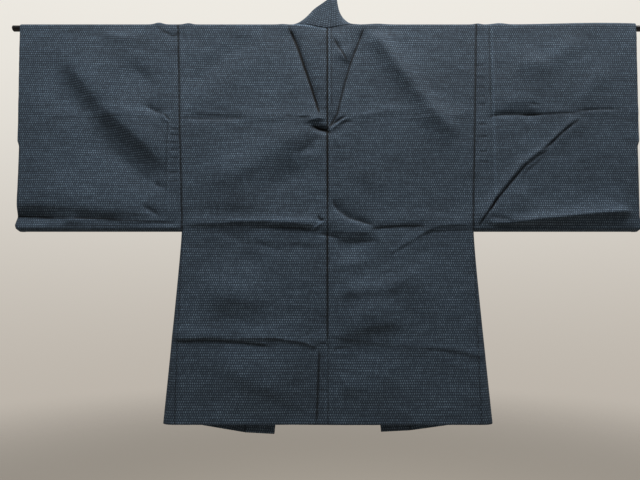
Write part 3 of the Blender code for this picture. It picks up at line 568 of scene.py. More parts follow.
    Crease("back", ((-0.023, -0.853), (-0.020, -0.777), (-0.017, -0.701)), 0.0010, 0.0010, 0.0008, 0.66),
    Crease("back", ((-0.001, -0.691), (-0.001, -0.605), (-0.001, -0.526), (-0.001, -0.458)),
           0.0010, 0.0010, -0.0006, 0.55),
    Crease("back", ((-0.003, -0.697), (-0.006, -0.850)), 0.0030, 0.0030, 0.0006, -0.20),
    # the same sort of creases on the fronts, which face away
    Crease("front", ((-0.640, -0.210), (-0.480, -0.206), (-0.340, -0.210)), 0.0020, 0.0060, -0.0016, 0.15),
    Crease("front", ((-0.330, -0.206), (-0.220, -0.209), (-0.112, -0.205)), 0.0016, 0.0060, -0.0018, 0.20),
    Crease("front", ((0.112, -0.205), (0.210, -0.203), (0.328, -0.208)), 0.0016, 0.0060, -0.0018, 0.20),
    Crease("front", ((0.340, -0.206), (0.470, -0.203), (0.640, -0.206)), 0.0020, 0.0060, -0.0016, 0.15),
    Crease("front", ((-0.305, -0.442), (-0.230, -0.438), (-0.132, -0.441)), 0.0090, 0.0030, 0.0026, 0.10),
    Crease("front", ((0.132, -0.444), (0.220, -0.440), (0.305, -0.448)), 0.0090, 0.0030, 0.0026, 0.10),
    Crease("front", ((-0.315, -0.694), (-0.250, -0.689), (-0.160, -0.686)), 0.0080, 0.0030, 0.0025, 0.12),
    Crease("front", ((0.160, -0.688), (0.240, -0.692), (0.315, -0.702)), 0.0080, 0.0030, 0.0025, 0.12),
    Crease("front", ((-0.560, -0.098), (-0.480, -0.190), (-0.400, -0.290)), 0.0240, 0.0120, 0.0040, 0.00),
    Crease("front", ((0.385, -0.345), (0.460, -0.250), (0.545, -0.170)), 0.0100, 0.0028, 0.0034, 0.15),
    Crease("front", ((-0.660, -0.424), (-0.500, -0.430), (-0.345, -0.436)), 0.0080, 0.0120, -0.0030, 0.10),
    Crease("front", ((0.350, -0.436), (0.500, -0.428), (0.660, -0.420)), 0.0080, 0.0120, -0.0030, 0.10),
)
# width, taper and limits of the creases' painted shade and painted highlights
SHADE_WIDTH = 0.0022
CREST_ROUNDING = 0.0010
CREST_ROUNDING_SHARE = 0.25
CREASE_TAPER = 0.030
SHADE_TAPER = 0.016
MOST_TAPER = 0.42  # of the crease's length, at each end
PALEST_SHADE = -0.45
DARKEST_SHADE = 0.90
SOFT_TAPER = 3.5  # widths over which a broad crease dies out at its ends
SOFT_WIDTH = 0.0085  # from this width on, a crease is as round as it is wide

# Small puckers across the seam allowances, each at its height, each with a line of painted shade
Pucker = namedtuple("Pucker", "x0 x1 heights")
PUCKERS = (
    Pucker(-0.343, -0.321, (-0.238, -0.252, -0.268, -0.284, -0.302, -0.333, -0.352)),
    Pucker(0.325, 0.347, (-0.092, -0.121, -0.142, -0.163, -0.181, -0.226, -0.254, -0.287, -0.310)),
    Pucker(-0.019, -0.001, (-0.640, -0.655, -0.694, -0.722, -0.750, -0.788)),
    Pucker(-0.010, -0.001, (-0.131, -0.152, -0.171, -0.190)),
)
PUCKER_WIDTH = 0.0019
PUCKER_DEPTH = -0.0009
PUCKER_SHADE = 0.30
PUCKER_FADE_LEFT = 0.006
PUCKER_FADE_RIGHT = 0.003

# Where the seams' layers make the cloth ride up over the rod
RiseUp = namedtuple("RiseUp", "x half_width height")
RISES = (
    RiseUp(-0.377, 0.012, 0.0044),
    RiseUp(-0.311, 0.011, 0.0032),
    RiseUp(0.337, 0.009, 0.0024),
    RiseUp(0.386, 0.018, 0.0030),
    RiseUp(0.610, 0.130, 0.0040),
    RiseUp(-0.100, 0.010, 0.0012),
    RiseUp(0.112, 0.022, 0.0020),
)

# The slow unevenness of cloth that hangs free, and the fine unevenness of old cloth
Waves = namedtuple("Waves", "count length_from length_to depth")
WAVES = (
    Waves(10, 0.140, 0.420, 0.00030),
    Waves(26, 0.022, 0.060, 0.000035),
)
WAVE_SEEDS = {"back": 3, "front": 4}


def smooth(share):
    """A soft step: 0 for shares below 0, and 1 above 1."""
    share = np.clip(share, 0.0, 1.0)
    return share * share * (3.0 - 2.0 * share)


def mix(low, high, share):
    return low + (high - low) * share


def along_segment(x, z, start, end):
    """Length run along a segment, distance off it, and which side: above 0 is left of the way it runs."""
    run_x = end[0] - start[0]
    run_z = end[1] - start[1]
    length = math.hypot(run_x, run_z)
    share = np.clip(((x - start[0]) * run_x + (z - start[1]) * run_z) / length ** 2, 0.0, 1.0)
    away = np.hypot(x - start[0] - share * run_x, z - start[1] - share * run_z)
    side = run_x * (z - start[1]) - run_z * (x - start[0])
    return share * length, away, side


def crease_line(crease, x, z, taper):
    """Distance from the crease's line, which side of it, and its strength, which fades at both ends."""
    lengths = [math.dist(start, end) for start, end in zip(crease.path, crease.path[1:])]
    whole = sum(lengths)
    away = np.full(x.shape, 1.0)
    done = np.zeros(x.shape)
    side = np.zeros(x.shape)
    before = 0.0
    for start, end, length in zip(crease.path, crease.path[1:], lengths):
        run, off, turn = along_segment(x, z, start, end)
        nearer = off < away
        away = np.where(nearer, off, away)
        done = np.where(nearer, before + run, done)
        side = np.where(nearer, turn, side)
        before += length
    taper = min(taper, MOST_TAPER * whole)
    strength = smooth(done / taper) * smooth((whole - done) / taper)
    return away, side, strength


def puckers(x, z):
    """Strength of the puckers across the seam allowances, up to 1 on a pucker's line."""
    total = np.zeros(x.shape)
    for row in PUCKERS:
        across = smooth((x - row.x0) / PUCKER_FADE_LEFT) * smooth((row.x1 - x) / PUCKER_FADE_RIGHT)
        for height in row.heights:
            total += across * np.exp(-(((z - height) / PUCKER_WIDTH) ** 2))
    return total


def crease_lift(crease, x, z):
    """How far one crease stands out, highest on its line and falling off on both sides."""
    taper = max(CREASE_TAPER, SOFT_TAPER * max(crease.above, crease.below))
    away, side, strength = crease_line(crease, x, z, taper)
    width = np.where(side > 0.0, crease.above, crease.below)
    rounding = np.where(width > SOFT_WIDTH, width, CREST_ROUNDING + CREST_ROUNDING_SHARE * width)
    return crease.lift * strength * np.exp(-(np.hypot(away, rounding) - rounding) / width)


def crease_shade(layer, x, z):
    """Painted shade that darkens the cloth on its creases' lines, or a painted highlight that makes it paler
    where this is below 0.
    """
    x, z = np.broadcast_arrays(x, z)
    total = np.zeros(x.shape)
    for crease in CREASES:
        if crease.layer == layer and crease.shade != 0.0:
            away, _, strength = crease_line(crease, x, z, SHADE_TAPER)
            total += crease.shade * strength * np.exp(-((away / SHADE_WIDTH) ** 2))
    # painted shade along the puckers
    if layer == "back":
        total += PUCKER_SHADE * puckers(x, z)
    return np.clip(total, PALEST_SHADE, DARKEST_SHADE)


def seam_shade(away, strength, width):
    """Painted shade of a line along a seam, or a painted highlight where the strength is below 0, from the
    distance off it.
    """
    return strength * np.exp(-((away / width) ** 2))


def together(*shades):
    """Painted shades and painted highlights on top of each other."""
    kept = 1.0
    for shade in shades:
        kept = kept * (1.0 - shade)
    return 1.0 - kept


def uneven(layer, x, z):
    """The sum of the slow and the fine waves, each with its own length, heading and phase."""
    rng = np.random.default_rng(WAVE_SEEDS[layer])
    total = np.zeros(x.shape)
    for waves in WAVES:
        for _ in range(waves.count):
            length = rng.uniform(waves.length_from, waves.length_to)
            heading = rng.uniform(0.0, 2.0 * math.pi)
            phase = rng.uniform(0.0, 2.0 * math.pi)
            along = x * math.cos(heading) + z * math.sin(heading)
            total += waves.depth * np.sin(2.0 * math.pi * along / length + phase)
    return total


def relief(layer, x, z):
    """How far the named layer stands out of its plain plane."""
    folds = np.zeros(x.shape)
    for fold in FOLDS:
        if fold.layer == layer:
            _, away, _ = along_segment(x, z, (fold.x0, fold.z0), (fold.x1, fold.z1))
            folds += fold.lift * np.exp(-((away / fold.half_width) ** 2))
    total = FOLD_MOST * np.tanh(folds / FOLD_MOST)
    for crease in CREASES:
        if crease.layer == layer:
            total += crease_lift(crease, x, z)
    if layer == "back":
        total += PUCKER_DEPTH * puckers(x, z)
    total += uneven(layer, x, z)
    return total * smooth(-z / FOLD_FADE)


def radius_over_rod(x, turn):
    """Radius of the cloth's outer face round the rod's axis, at a turn up from level with it."""
    total = np.full(x.shape, HANG + CLOTH)
    for rise in RISES:
        total += rise.height * np.exp(-(((x - rise.x) / rise.half_width) ** 2)) * np.sin(turn) ** 2
    return total


def half_depth(level):
    """From the middle plane to the wall's inside: the body opens below the gussets' tops."""
    opened = smooth((-level - GUSSET_TOP) / (BODY_DROP - GUSSET_TOP))
    return mix(HANG, HEM_HALF_DEPTH, opened)


def side_edge(level):
    """Half the body's width at a level. It narrows down to the sleeves' bottoms."""
    return mix(SHOULDER_HALF, BACK_HALF, np.clip(-level / SLEEVE_DROP, 0.0, 1.0))


def front_edge(level):
    """How far a front's inner edge lies from the centre at a level."""
    return mix(NECK_HALF, FRONT_EDGE_AT_HEM, np.clip(-level / BODY_DROP, 0.0, 1.0))


def hung(face, x, level, lower=1.0, sink=0.0):
    """The cloth's outer face where it hangs over the rod, sink deeper where an edge is turned in.

    face is -1 for the back layer and 1 for the front. A level above 0 is a length round the rod.
    """
    face, x, level, lower, sink = np.broadcast_arrays(face, x, level, lower, sink)
    z = level * lower
    stands = np.where(face < 0, relief("back", x, z), relief("front", x, z))
    depth = half_depth(level) + CLOTH + stands - sink
    turn = np.maximum(level, 0.0) / HANG
    radius = radius_over_rod(x, turn) - sink
    y = face * np.where(level > 0.0, radius * np.cos(turn), depth)
    z = np.where(level > 0.0, radius * np.sin(turn), z)
    return np.stack([x, y, z], axis=-1)


def on_layers(face, x, z):
    """The creases' painted shade and painted highlights on the back layer or the front one."""
    face, x, z = np.broadcast_arrays(face, x, z)
    return np.where(face < 0, crease_shade("back", x, z), crease_shade("front", x, z))


def spaced(low, high, step, closer=()):
    """Places from low to high about a step apart, or as close as the rows of closer say."""
    fine = np.linspace(low, high, FINE_PLACES)
    spacing = np.full(fine.shape, step)
    for near in closer:
        spacing += (near.step - spacing) * np.exp(-(((fine - near.place) / near.reach) ** 4))
    steps = np.concatenate(([0.0], np.cumsum(np.diff(fine) / spacing[:-1])))
    return np.interp(np.linspace(0.0, steps[-1], math.ceil(steps[-1]) + 1), steps, fine)


def turned_edge(turn, steps, flap=0.0, flap_steps=0):
    """Push, sink and run along the cloth of the places round an edge that is turned in."""
    angles = np.linspace(0.0, math.radians(turn), steps + 1)[1:]
    along = flap * np.arange(1, flap_steps + 1) / max(1, flap_steps)
    push = np.concatenate((TURN_RADIUS * np.sin(angles), -along))
    sink = np.concatenate((TURN_RADIUS * (1.0 - np.cos(angles)), np.full(flap_steps, 2 * TURN_RADIUS)))
    run = np.concatenate((TURN_RADIUS * angles, TURN_RADIUS * math.pi + along))
    return push, sink, run


def path_rows(bottom_level, bottom_along, levels_back, levels_front):
    """Face, level and length along, for each row from the back's bottom over the rod to the front's."""
    over = TOP_OF_ROD * np.arange(1, OVER_ROD_STEPS + 1) / OVER_ROD_STEPS
    arc = over * (HANG + CLOTH) / HANG
    back = np.concatenate((bottom_level, levels_back, over))
    front = np.concatenate((bottom_level, levels_front, over[:-1]))[::-1]
    face = np.concatenate((np.full(len(back), -1.0), np.full(len(front), 1.0)))
    back_along = np.concatenate((bottom_along, levels_back, arc))
    front_along = 2 * arc[-1] - np.concatenate((bottom_along, levels_front, arc[:-1]))[::-1]
    level = np.concatenate((back, front))
    along = np.concatenate((back_along, front_along))
    return face[:, None], level[:, None], along[:, None]


def at_bottoms(bottom, between, rows):
    """A value for each row, with a bottom edge's own values at both ends of the length."""
    middle = np.full(rows - 2 * len(bottom), between)
    return np.concatenate((bottom, middle, bottom[::-1]))[:, None]


def row_of(*parts):
    """A value for each column, from the parts side by side."""
    return np.concatenate(parts)[None, :]


def cloth_mesh(grids, flip):
    """One mesh from grids of (points, cut, shade), joined where their points meet."""
    points = np.concatenate([grid.reshape(-1, 3) for grid, *_ in grids])
    cuts = np.concatenate([cut.reshape(-1, 2) for _, cut, _ in grids])
    shades = [np.broadcast_to(shade, cut.shape[:2]).reshape(-1) for _, cut, shade in grids]
    shades = np.concatenate(shades)
    faces = []
    start = 0
    for grid, *_ in grids:
        rows, columns = grid.shape[:2]
        index = start + np.arange(rows * columns).reshape(rows, columns)
        quads = np.stack([index[:-1, :-1], index[:-1, 1:], index[1:, 1:], index[1:, :-1]], axis=-1)
        faces.append(quads.reshape(-1, 4))
        start += rows * columns
    faces = np.concatenate(faces)
    keys = np.round(points * MICROMETRES).astype(np.int64)
    _, first, where = np.unique(keys, axis=0, return_index=True, return_inverse=True)
    where = where.reshape(-1)
    joined = where[faces]
    if flip:
        joined = joined[:, ::-1]
        faces = faces[:, ::-1]
    mesh = bpy.data.meshes.new("cloth")
    mesh.from_pydata(points[first], [], joined)
    layer = mesh.uv_layers.new(name="cut")
    layer.data.foreach_set("uv", cuts[faces.reshape(-1)].reshape(-1).astype(np.float32))
    shade = mesh.attributes.new("shade", "FLOAT", "POINT")
    shade.data.foreach_set("value", shades[first].astype(np.float32))
    mesh.shade_smooth()
    mesh.update()
    return mesh


def show_cloth(name, mesh, node):
    """Gives the cloth its thickness, and puts it in place of the plain solid."""
    mesh.name = name
    mesh.materials.append(indigo)
    piece = bpy.data.objects.new(name, mesh)
    bpy.context.scene.collection.objects.link(piece)
    thick = piece.modifiers.new("Thickness", "SOLIDIFY")
    thick.thickness = WALL
    thick.offset = -1.0
    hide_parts(node)
    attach(piece, "root")


# Where the mesh's rows or columns lie closer: the place, how far that reaches, and the step there
Closer = namedtuple("Closer", "place reach step")
FINE_PLACES = 4001  # on which the spacing is summed up
MICROMETRES = 1e6  # in a metre: points that agree this closely are joined
BACK_FINE = (
    Closer(-0.100, 0.135, 0.0022),
    Closer(-0.222, 0.030, 0.0018),
    Closer(-0.452, 0.028, 0.0018),
    Closer(-0.694, 0.022, 0.0019),
)
FRONT_FINE = (
    Closer(-0.206, 0.012, 0.0025),
    Closer(-0.442, 0.014, 0.0025),
    Closer(-0.690, 0.014, 0.0025),
)
BODY_ROW_STEP = 0.0044
BODY_FRONT_ROW_STEP = 0.0060
SHOULDER_COLUMN_STEP = 0.0046
BESIDE_NECK_STEP = 0.0030
BESIDE_NECK_REACH = 0.10  # of the shoulder's width
NECK_COLUMN_STEP = 0.0019
BESIDE_CENTRE_STEP = 0.0011
BESIDE_CENTRE_REACH = 0.15  # of the neck's half width
SEAM_TURN = 105.0  # degrees by which the cloth turns in at a seam
HEM_TURN = 180.0  # and at a hem or a cuff
SEAM_TOUCH = 0.00005  # how far sewn edges press together, so that no light shows between
# painted shade along the seams' lines; the centre seam's is weaker lower down
SLEEVE_SEAM_SHADE = 0.72
GUSSET_SEAM_SHADE = 0.26
COLLAR_SEAM_SHADE = 0.45
CENTRE_SEAM_SHADE = 0.92
CENTRE_SEAM_SHADE_LOW = 0.26
CENTRE_SEAM_FADES_FROM = 0.5  # of the sleeves' drop
SEAM_SHADE_WIDTH = 0.0013
CENTRE_SEAM_SHADE_WIDTH = 0.0019
FOLD_HIGHLIGHT_AT = 0.0046  # a painted highlight along the fold beside the centre seam, to its right
PAINTED_FOLD_HIGHLIGHT = -0.55
BESIDE_SEAM_LINE_WIDTH = 0.0014
BESIDE_SEAM_LINES_TO = -0.195
BESIDE_SEAM_LINES_FADE = 0.02
ALLOWANCE_EDGE = 0.0092  # and a painted shade line beside it, where the allowance's edge shows through
ALLOWANCE_EDGE_SHADE = 0.38
NECK_HIGHLIGHT_BELOW = 0.0036  # a painted highlight line below the left half of the neckline
PAINTED_NECK_HIGHLIGHT = -0.90
NECK_HIGHLIGHT_WIDTH = 0.0022
SEAM_STEPS = 4
HEM_STEPS = 6
HEM_FLAP_STEPS = 4
COLLAR_SEAM_STARTS = 0.6  # of the way over the rod, where the front's inner edge turns in
CUT_OF_BODY = {-1: 0.40, 1: 0.0}  # where each piece's map starts, so that no two show the same weave


def neckline(x):
    """Level of the neck's edge, which dips below the rod's axis at the centre back."""
    return mix(-NECKLINE_DIP, TOP_OF_ROD, x / NECK_HALF)


def body_panel(side):
    """One body panel in two grids, side -1 for the left one and 1 for the right."""
    low = -BODY_DROP + TURN_RADIUS
    levels_back = spaced(low, 0.0, BODY_ROW_STEP, BACK_FINE)
    levels_front = spaced(low, 0.0, BODY_FRONT_ROW_STEP, FRONT_FINE)
    hem_push, hem_sink, hem_run = turned_edge(HEM_TURN, HEM_STEPS, HEM_TURNED, HEM_FLAP_STEPS)
    seam_push, seam_sink, seam_run = turned_edge(SEAM_TURN, SEAM_STEPS)
    face, level, along = path_rows(low - hem_push[::-1], low - hem_run[::-1], levels_back, levels_front)
    deep = at_bottoms(hem_sink[::-1], 0.0, len(level))

    # from the neck's corner out to the side: these columns run the whole way over the rod
    width = SHOULDER_HALF - NECK_HALF
    beside_neck = Closer(0.0, BESIDE_NECK_REACH, BESIDE_NECK_STEP / width)
    shares = spaced(0.0, 1.0, SHOULDER_COLUMN_STEP / width, (beside_neck,))
    share = row_of(0 * seam_push, shares, 1 + 0 * seam_push)
    push = row_of(-seam_push[::-1], 0 * shares, seam_push)
    run = row_of(-seam_run[::-1], 0 * shares, seam_run)
    sink_in = row_of(seam_sink[::-1], 0 * shares, 0 * seam_push)
    sink_out = row_of(0 * seam_push, 0 * shares, seam_sink)
    past_top = (TOP_OF_ROD - level) / (COLLAR_SEAM_STARTS * TOP_OF_ROD)
    on_front = np.where(face > 0, smooth(past_top), 0.0)
    inner = np.where(face > 0, front_edge(level), NECK_HALF)
    flat_x = mix(inner + TURN_RADIUS, side_edge(level) - TURN_RADIUS + SEAM_TOUCH, share)
    lower = 1.0 + FRONT_POINT[side] * (1.0 - share) * (face > 0)
    sink = deep + sink_out + sink_in * on_front
    shoulder = hung(face, side * (flat_x + push), level, lower, sink)
    shoulder_cut = np.stack(np.broadcast_arrays(flat_x + run, along * lower), axis=-1)
    x = flat_x + push
    strength = np.where(level > -SLEEVE_DROP, SLEEVE_SEAM_SHADE, GUSSET_SEAM_SHADE)
    # the creases' painted shade and highlights, with painted shade along the side seam and the collar's seam
    shoulder_shade = together(
        on_layers(face, side * x, level * lower),
        seam_shade(side_edge(level) - x, strength, SEAM_SHADE_WIDTH),
        seam_shade(x - inner, COLLAR_SEAM_SHADE * on_front, SEAM_SHADE_WIDTH),
    )

    # from the centre back seam to the neck's corner: these end at the neckline
    rows = slice(0, len(hem_push) + len(levels_back) + OVER_ROD_STEPS)
    first_x = TURN_RADIUS - SEAM_TOUCH
    last_x = NECK_HALF + TURN_RADIUS - seam_push.max()
    beside_centre = Closer(0.0, BESIDE_CENTRE_REACH, BESIDE_CENTRE_STEP / last_x)
    shares = spaced(0.0, 1.0, NECK_COLUMN_STEP / last_x, (beside_centre,))
    flat_x = row_of(np.full(len(seam_push), first_x), mix(first_x, last_x, shares))
    push = row_of(-seam_push[::-1], 0 * shares)
    run = row_of(-seam_run[::-1], 0 * shares)
    sink = deep[rows] + row_of(seam_sink[::-1], 0 * shares)
    x = flat_x + push
    neck_level = neckline(np.minimum(x, NECK_HALF))
    squeeze = (neck_level - TOP_ROW) / (TOP_OF_ROD - TOP_ROW)
    cut = np.where(level[rows] > TOP_ROW, TOP_ROW + (level[rows] - TOP_ROW) * squeeze, level[rows])
    neck = hung(-1.0, side * x, cut, 1.0, sink)
    neck_cut = np.stack(np.broadcast_arrays(flat_x + run, along[rows] + cut - level[rows]), axis=-1)
    lower_part = smooth(-cut / SLEEVE_DROP - CENTRE_SEAM_FADES_FROM)
    fading = mix(CENTRE_SEAM_SHADE, CENTRE_SEAM_SHADE_LOW, lower_part)
    beside = smooth((cut - BESIDE_SEAM_LINES_TO) / BESIDE_SEAM_LINES_FADE) if side > 0 else 0.0
    below_neck = PAINTED_NECK_HIGHLIGHT if side < 0 else 0.0
    # the creases' painted shade and highlights, painted shade along the centre seam and the neckline, and
    # the painted lines beside them
    neck_shade = together(
        crease_shade("back", side * x, cut + 0 * x),
        seam_shade(x, fading, CENTRE_SEAM_SHADE_WIDTH),
        seam_shade(x - FOLD_HIGHLIGHT_AT, beside * PAINTED_FOLD_HIGHLIGHT, BESIDE_SEAM_LINE_WIDTH),
        seam_shade(x - ALLOWANCE_EDGE, beside * ALLOWANCE_EDGE_SHADE, BESIDE_SEAM_LINE_WIDTH),
        seam_shade(neck_level - cut, COLLAR_SEAM_SHADE, SEAM_SHADE_WIDTH),
        seam_shade(neck_level - cut - NECK_HIGHLIGHT_BELOW, below_neck, NECK_HIGHLIGHT_WIDTH),
    )
    offset = np.array([CUT_OF_BODY[side], 0.0])
    grids = [
        (shoulder, shoulder_cut + offset, shoulder_shade),
        (neck, neck_cut + offset, neck_shade),
    ]
    return cloth_mesh(grids, side < 0)


show_cloth("haori_body_left", body_panel(-1), "body_left")
show_cloth("haori_body_right", body_panel(1), "body_right")


# Sleeves
# Each is one length folded over at the top and sewn into a bag: open to the body, and open at the wrist
# for the upper half, where the edge is turned in. Below that the outer edge is sewn shut.
SLEEVE_ROW_STEP = 0.0030
SLEEVE_FRONT_ROW_STEP = 0.0055
SLEEVE_COLUMN_STEP = 0.0030
ALLOWANCE = 0.040  # beside the seam to the body, where the columns lie closer
ALLOWANCE_STEP = 0.0014
CUFF_OPENING = 0.262  # from the rod's axis down to where the outer edge is sewn shut
CUFF_CLOSES = 0.014  # length over which it closes
CUFF_TURNED = 0.012
CUFF_STEPS = 8
CUFF_FLAP_STEPS = 3
CUFF_HALF_SPAN = {-1: 0.686, 1: 0.690}

# The outer edge: how far it lies in from its widest half span, at each height
CuffPoint = namedtuple("CuffPoint", "height drawn_in")
CUFF_EDGE = (
    CuffPoint(-0.461, 0.030),
    CuffPoint(-0.455, 0.022),
    CuffPoint(-0.447, 0.019),
    CuffPoint(-0.430, 0.023),
    CuffPoint(-0.390, 0.021),
    CuffPoint(-0.210, 0.012),
    CuffPoint(0.010, 0.000),
)
CUT_OF_SLEEVE = {-1: 0.9, 1: 1.7}
BOTTOM_RADIUS = HANG + CLOTH
BOTTOM_STEPS = 8
BOTTOM_FADE = 0.010  # the relief dies out over this length towards the rounded bottom
LAYERS_APART = 0.0001  # from the middle plane, where the outer edge is sewn shut
BACK_SLEEVE_FINE = (
    Closer(-0.200, 0.014, 0.0020),
    Closer(-0.280, 0.070, 0.0024),
    Closer(-0.425, 0.020, 0.0022),
)


def cuff_edge(side, z):
    """How far a sleeve's outer edge lies from the centre at a height."""
    heights = [point.height for point in CUFF_EDGE]
    drawn_in = [point.drawn_in for point in CUFF_EDGE]
    return CUFF_HALF_SPAN[side] - np.interp(z, heights, drawn_in)


def sleeve(side):
    """One sleeve in one grid, from the back's bottom over the rod to the front's."""
    bottom = -SLEEVE_DROP - CLOTH
    centre = bottom + BOTTOM_RADIUS
    angles = np.radians(np.linspace(0.0, 90.0, BOTTOM_STEPS + 1))[:-1]
    levels_back = spaced(centre, 0.0, SLEEVE_ROW_STEP, BACK_SLEEVE_FINE)
    levels_front = spaced(centre, 0.0, SLEEVE_FRONT_ROW_STEP)
    turn_level = centre - BOTTOM_RADIUS * np.cos(angles)
    turn_along = centre - BOTTOM_RADIUS * (math.pi / 2 - angles)
    face, level, along = path_rows(turn_level, turn_along, levels_back, levels_front)
    round_off = at_bottoms(np.sin(angles), 1.0, len(level))

    # the outer edge: turned in where the cuff is open, and drawn to the middle plane where it is shut
    push, sink, run = turned_edge(SEAM_TURN, SEAM_STEPS)
    open_push, open_sink, open_run = turned_edge(HEM_TURN, CUFF_STEPS, CUFF_TURNED, CUFF_FLAP_STEPS)
    quarter = np.radians(np.linspace(0.0, 90.0, CUFF_STEPS + 1))[1:]
    flap = CUFF_TURNED * np.arange(1, CUFF_FLAP_STEPS + 1) / CUFF_FLAP_STEPS
    shut_push = np.concatenate((BOTTOM_RADIUS * np.sin(quarter), BOTTOM_RADIUS - flap))
    shut_sink = np.concatenate((1.0 - np.cos(quarter), np.ones(CUFF_FLAP_STEPS)))
    shut_run = np.concatenate((BOTTOM_RADIUS * quarter, BOTTOM_RADIUS * math.pi / 2 + flap))
    shut = smooth((-level - CUFF_OPENING) / CUFF_CLOSES)
    span = CUFF_HALF_SPAN[side] - SHOULDER_HALF
    beside_seam = Closer(0.0, ALLOWANCE / span, ALLOWANCE_STEP / span)
    shares = spaced(0.0, 1.0, SLEEVE_COLUMN_STEP / span, (beside_seam,))
    zeros = np.zeros(len(shares))
    share = row_of(0 * push, shares, np.ones(len(open_push)))
    end_in = mix(TURN_RADIUS, BOTTOM_RADIUS, shut)
    first_x = side_edge(level) + TURN_RADIUS - SEAM_TOUCH
    flat_x = mix(first_x, cuff_edge(side, level) - end_in, share)
    open_columns = row_of(-push[::-1], zeros, open_push)
    shut_columns = row_of(-push[::-1], zeros, shut_push)
    x = flat_x + mix(open_columns, shut_columns, shut)
    open_runs = row_of(-run[::-1], zeros, open_run)
    shut_runs = row_of(-run[::-1], zeros, shut_run)
    across = flat_x + mix(open_runs, shut_runs, shut)
    seam_sink = row_of(sink[::-1], zeros, 0 * open_push)
    edge_sink = row_of(0 * push, zeros, open_sink)
    high = level + 0 * x
    stands = np.where(face < 0, relief("back", side * x, high), relief("front", side * x, high))
    stands = stands * smooth((level - centre) / BOTTOM_FADE)
    depth = HANG + CLOTH + stands
    open_depth = depth - edge_sink - seam_sink
    to_middle = 1.0 - row_of(0 * push, zeros, shut_sink)
    shut_depth = (depth - seam_sink - LAYERS_APART) * to_middle + LAYERS_APART
    hanging = mix(open_depth, shut_depth, shut) * round_off
    angle = np.maximum(level, 0.0) / HANG
    radius = radius_over_rod(side * x, angle) - edge_sink - seam_sink
    y = face * np.where(level > 0.0, radius * np.cos(angle), hanging)
    z = np.where(level > 0.0, radius * np.sin(angle), high)
    points = np.stack([side * x, y, z], axis=-1)
    cut = np.stack(np.broadcast_arrays(across + CUT_OF_SLEEVE[side], along), axis=-1)
    # the creases' painted shade and highlights, and painted shade along the seam to the body
    shade = together(
        on_layers(face, side * x, high),
        seam_shade(x - side_edge(level), SLEEVE_SEAM_SHADE, SEAM_SHADE_WIDTH),
    )
    return cloth_mesh([(points, cut, shade)], side < 0)


show_cloth("haori_sleeve_left", sleeve(-1), "sleeve_left")
show_cloth("haori_sleeve_right", sleeve(1), "sleeve_right")


# Side gussets
# A narrow wedge at each side, sewn between the back and the front from under the sleeve to the hem. It
# curves out between them, and its hem is turned in with theirs.
GUSSET_BULGE_TOP = 0.0015
GUSSET_BULGE_HEM = 0.0265
GUSSET_BULGE_GROWTH = 1.1
GUSSET_ROW_STEP = 0.0050
GUSSET_FINE = (Closer(-0.694, 0.022, 0.0025),)
GUSSET_SEAM_SHARES = (0.0, 0.012, 0.025)  # columns close to a seam, as shares of the width
GUSSET_SHARES = np.linspace(0.05, 0.95, 19)
CUT_OF_GUSSET = {-1: 2.5, 1: 2.7}


def gusset(side):
    """One gusset in one grid, from under the sleeve to the hem, and from the back round to the front."""
    push, sink, run = turned_edge(HEM_TURN, HEM_STEPS, HEM_TURNED, HEM_FLAP_STEPS)
    low = -BODY_DROP + TURN_RADIUS
    levels = spaced(low, -SLEEVE_DROP - CLOTH, GUSSET_ROW_STEP, GUSSET_FINE)[::-1]
    level = np.concatenate((levels, low - push))[:, None]
    deep = np.concatenate((0 * levels, sink))[:, None]
    along = np.concatenate((levels, low - run))[:, None]
    at_seam = np.array(GUSSET_SEAM_SHARES)
    turn = math.pi * row_of(at_seam, GUSSET_SHARES, 1.0 - at_seam[::-1])
    share = np.clip((-level - GUSSET_TOP) / (BODY_DROP - GUSSET_TOP), 0.0, 1.0)
    bulge = mix(GUSSET_BULGE_TOP, GUSSET_BULGE_HEM, share ** GUSSET_BULGE_GROWTH)
    edge = side_edge(level)
    back = -hung(-1.0, side * edge, level)[..., 1]
    front = hung(1.0, side * edge, level)[..., 1]
    depth = mix(back, front, turn / math.pi)
    from_seam = np.minimum(turn, math.pi - turn) * np.maximum(bulge, BOTTOM_RADIUS / 2)
    tucked = deep + TURN_RADIUS * np.exp(-((from_seam / TURN_RADIUS) ** 2))
    x = edge + (bulge - deep) * np.sin(turn)
    y = -(depth - tucked) * np.cos(turn)
    points = np.stack(np.broadcast_arrays(side * x, y, level), axis=-1)
    near_hem = len(levels) - 2  # the row whose widths the map takes
    steps = np.hypot(np.diff(x[near_hem]), np.diff(y[near_hem]))
    width = row_of([0.0], np.cumsum(steps))
    cut = np.stack(np.broadcast_arrays(width + CUT_OF_GUSSET[side], along), axis=-1)
    # painted shade along both seams
    shade = seam_shade(from_seam, GUSSET_SEAM_SHADE, SEAM_SHADE_WIDTH)
    return cloth_mesh([(points, cut, shade)], side > 0)


show_cloth("haori_gusset_left", gusset(-1), "gusset_left")
show_cloth("haori_gusset_right", gusset(1), "gusset_right")


# Collar
# One long strip, folded double over a soft stiffening and sewn to the neckline and down both fronts to
# the hem. With no neck in it, it stands up at the nape like a small tent and falls to the front.
COLLAR_CLOTH = 0.0024
COLLAR_WIDTH = 0.060
COLLAR_END_SLOPE = 0.004
COLLAR_ROW_STEP = 0.0050
COLLAR_NECK_STEP = 0.0023
COLLAR_OVER_ROD_STEPS = 8
COLLAR_TOP_LEVEL = -0.002  # where the straight bands end and the sections round the neck begin
COLLAR_TOP_FINE = (Closer(0.0, 0.03, 0.0025),)
COLLAR_EDGE_SHARES = (0.0, 0.002, 0.006, 0.012, 0.020)  # columns close to an edge, as shares of the width
COLLAR_SHARES = np.linspace(0.05, 0.95, 17)
CUT_OF_COLLAR = 3.0

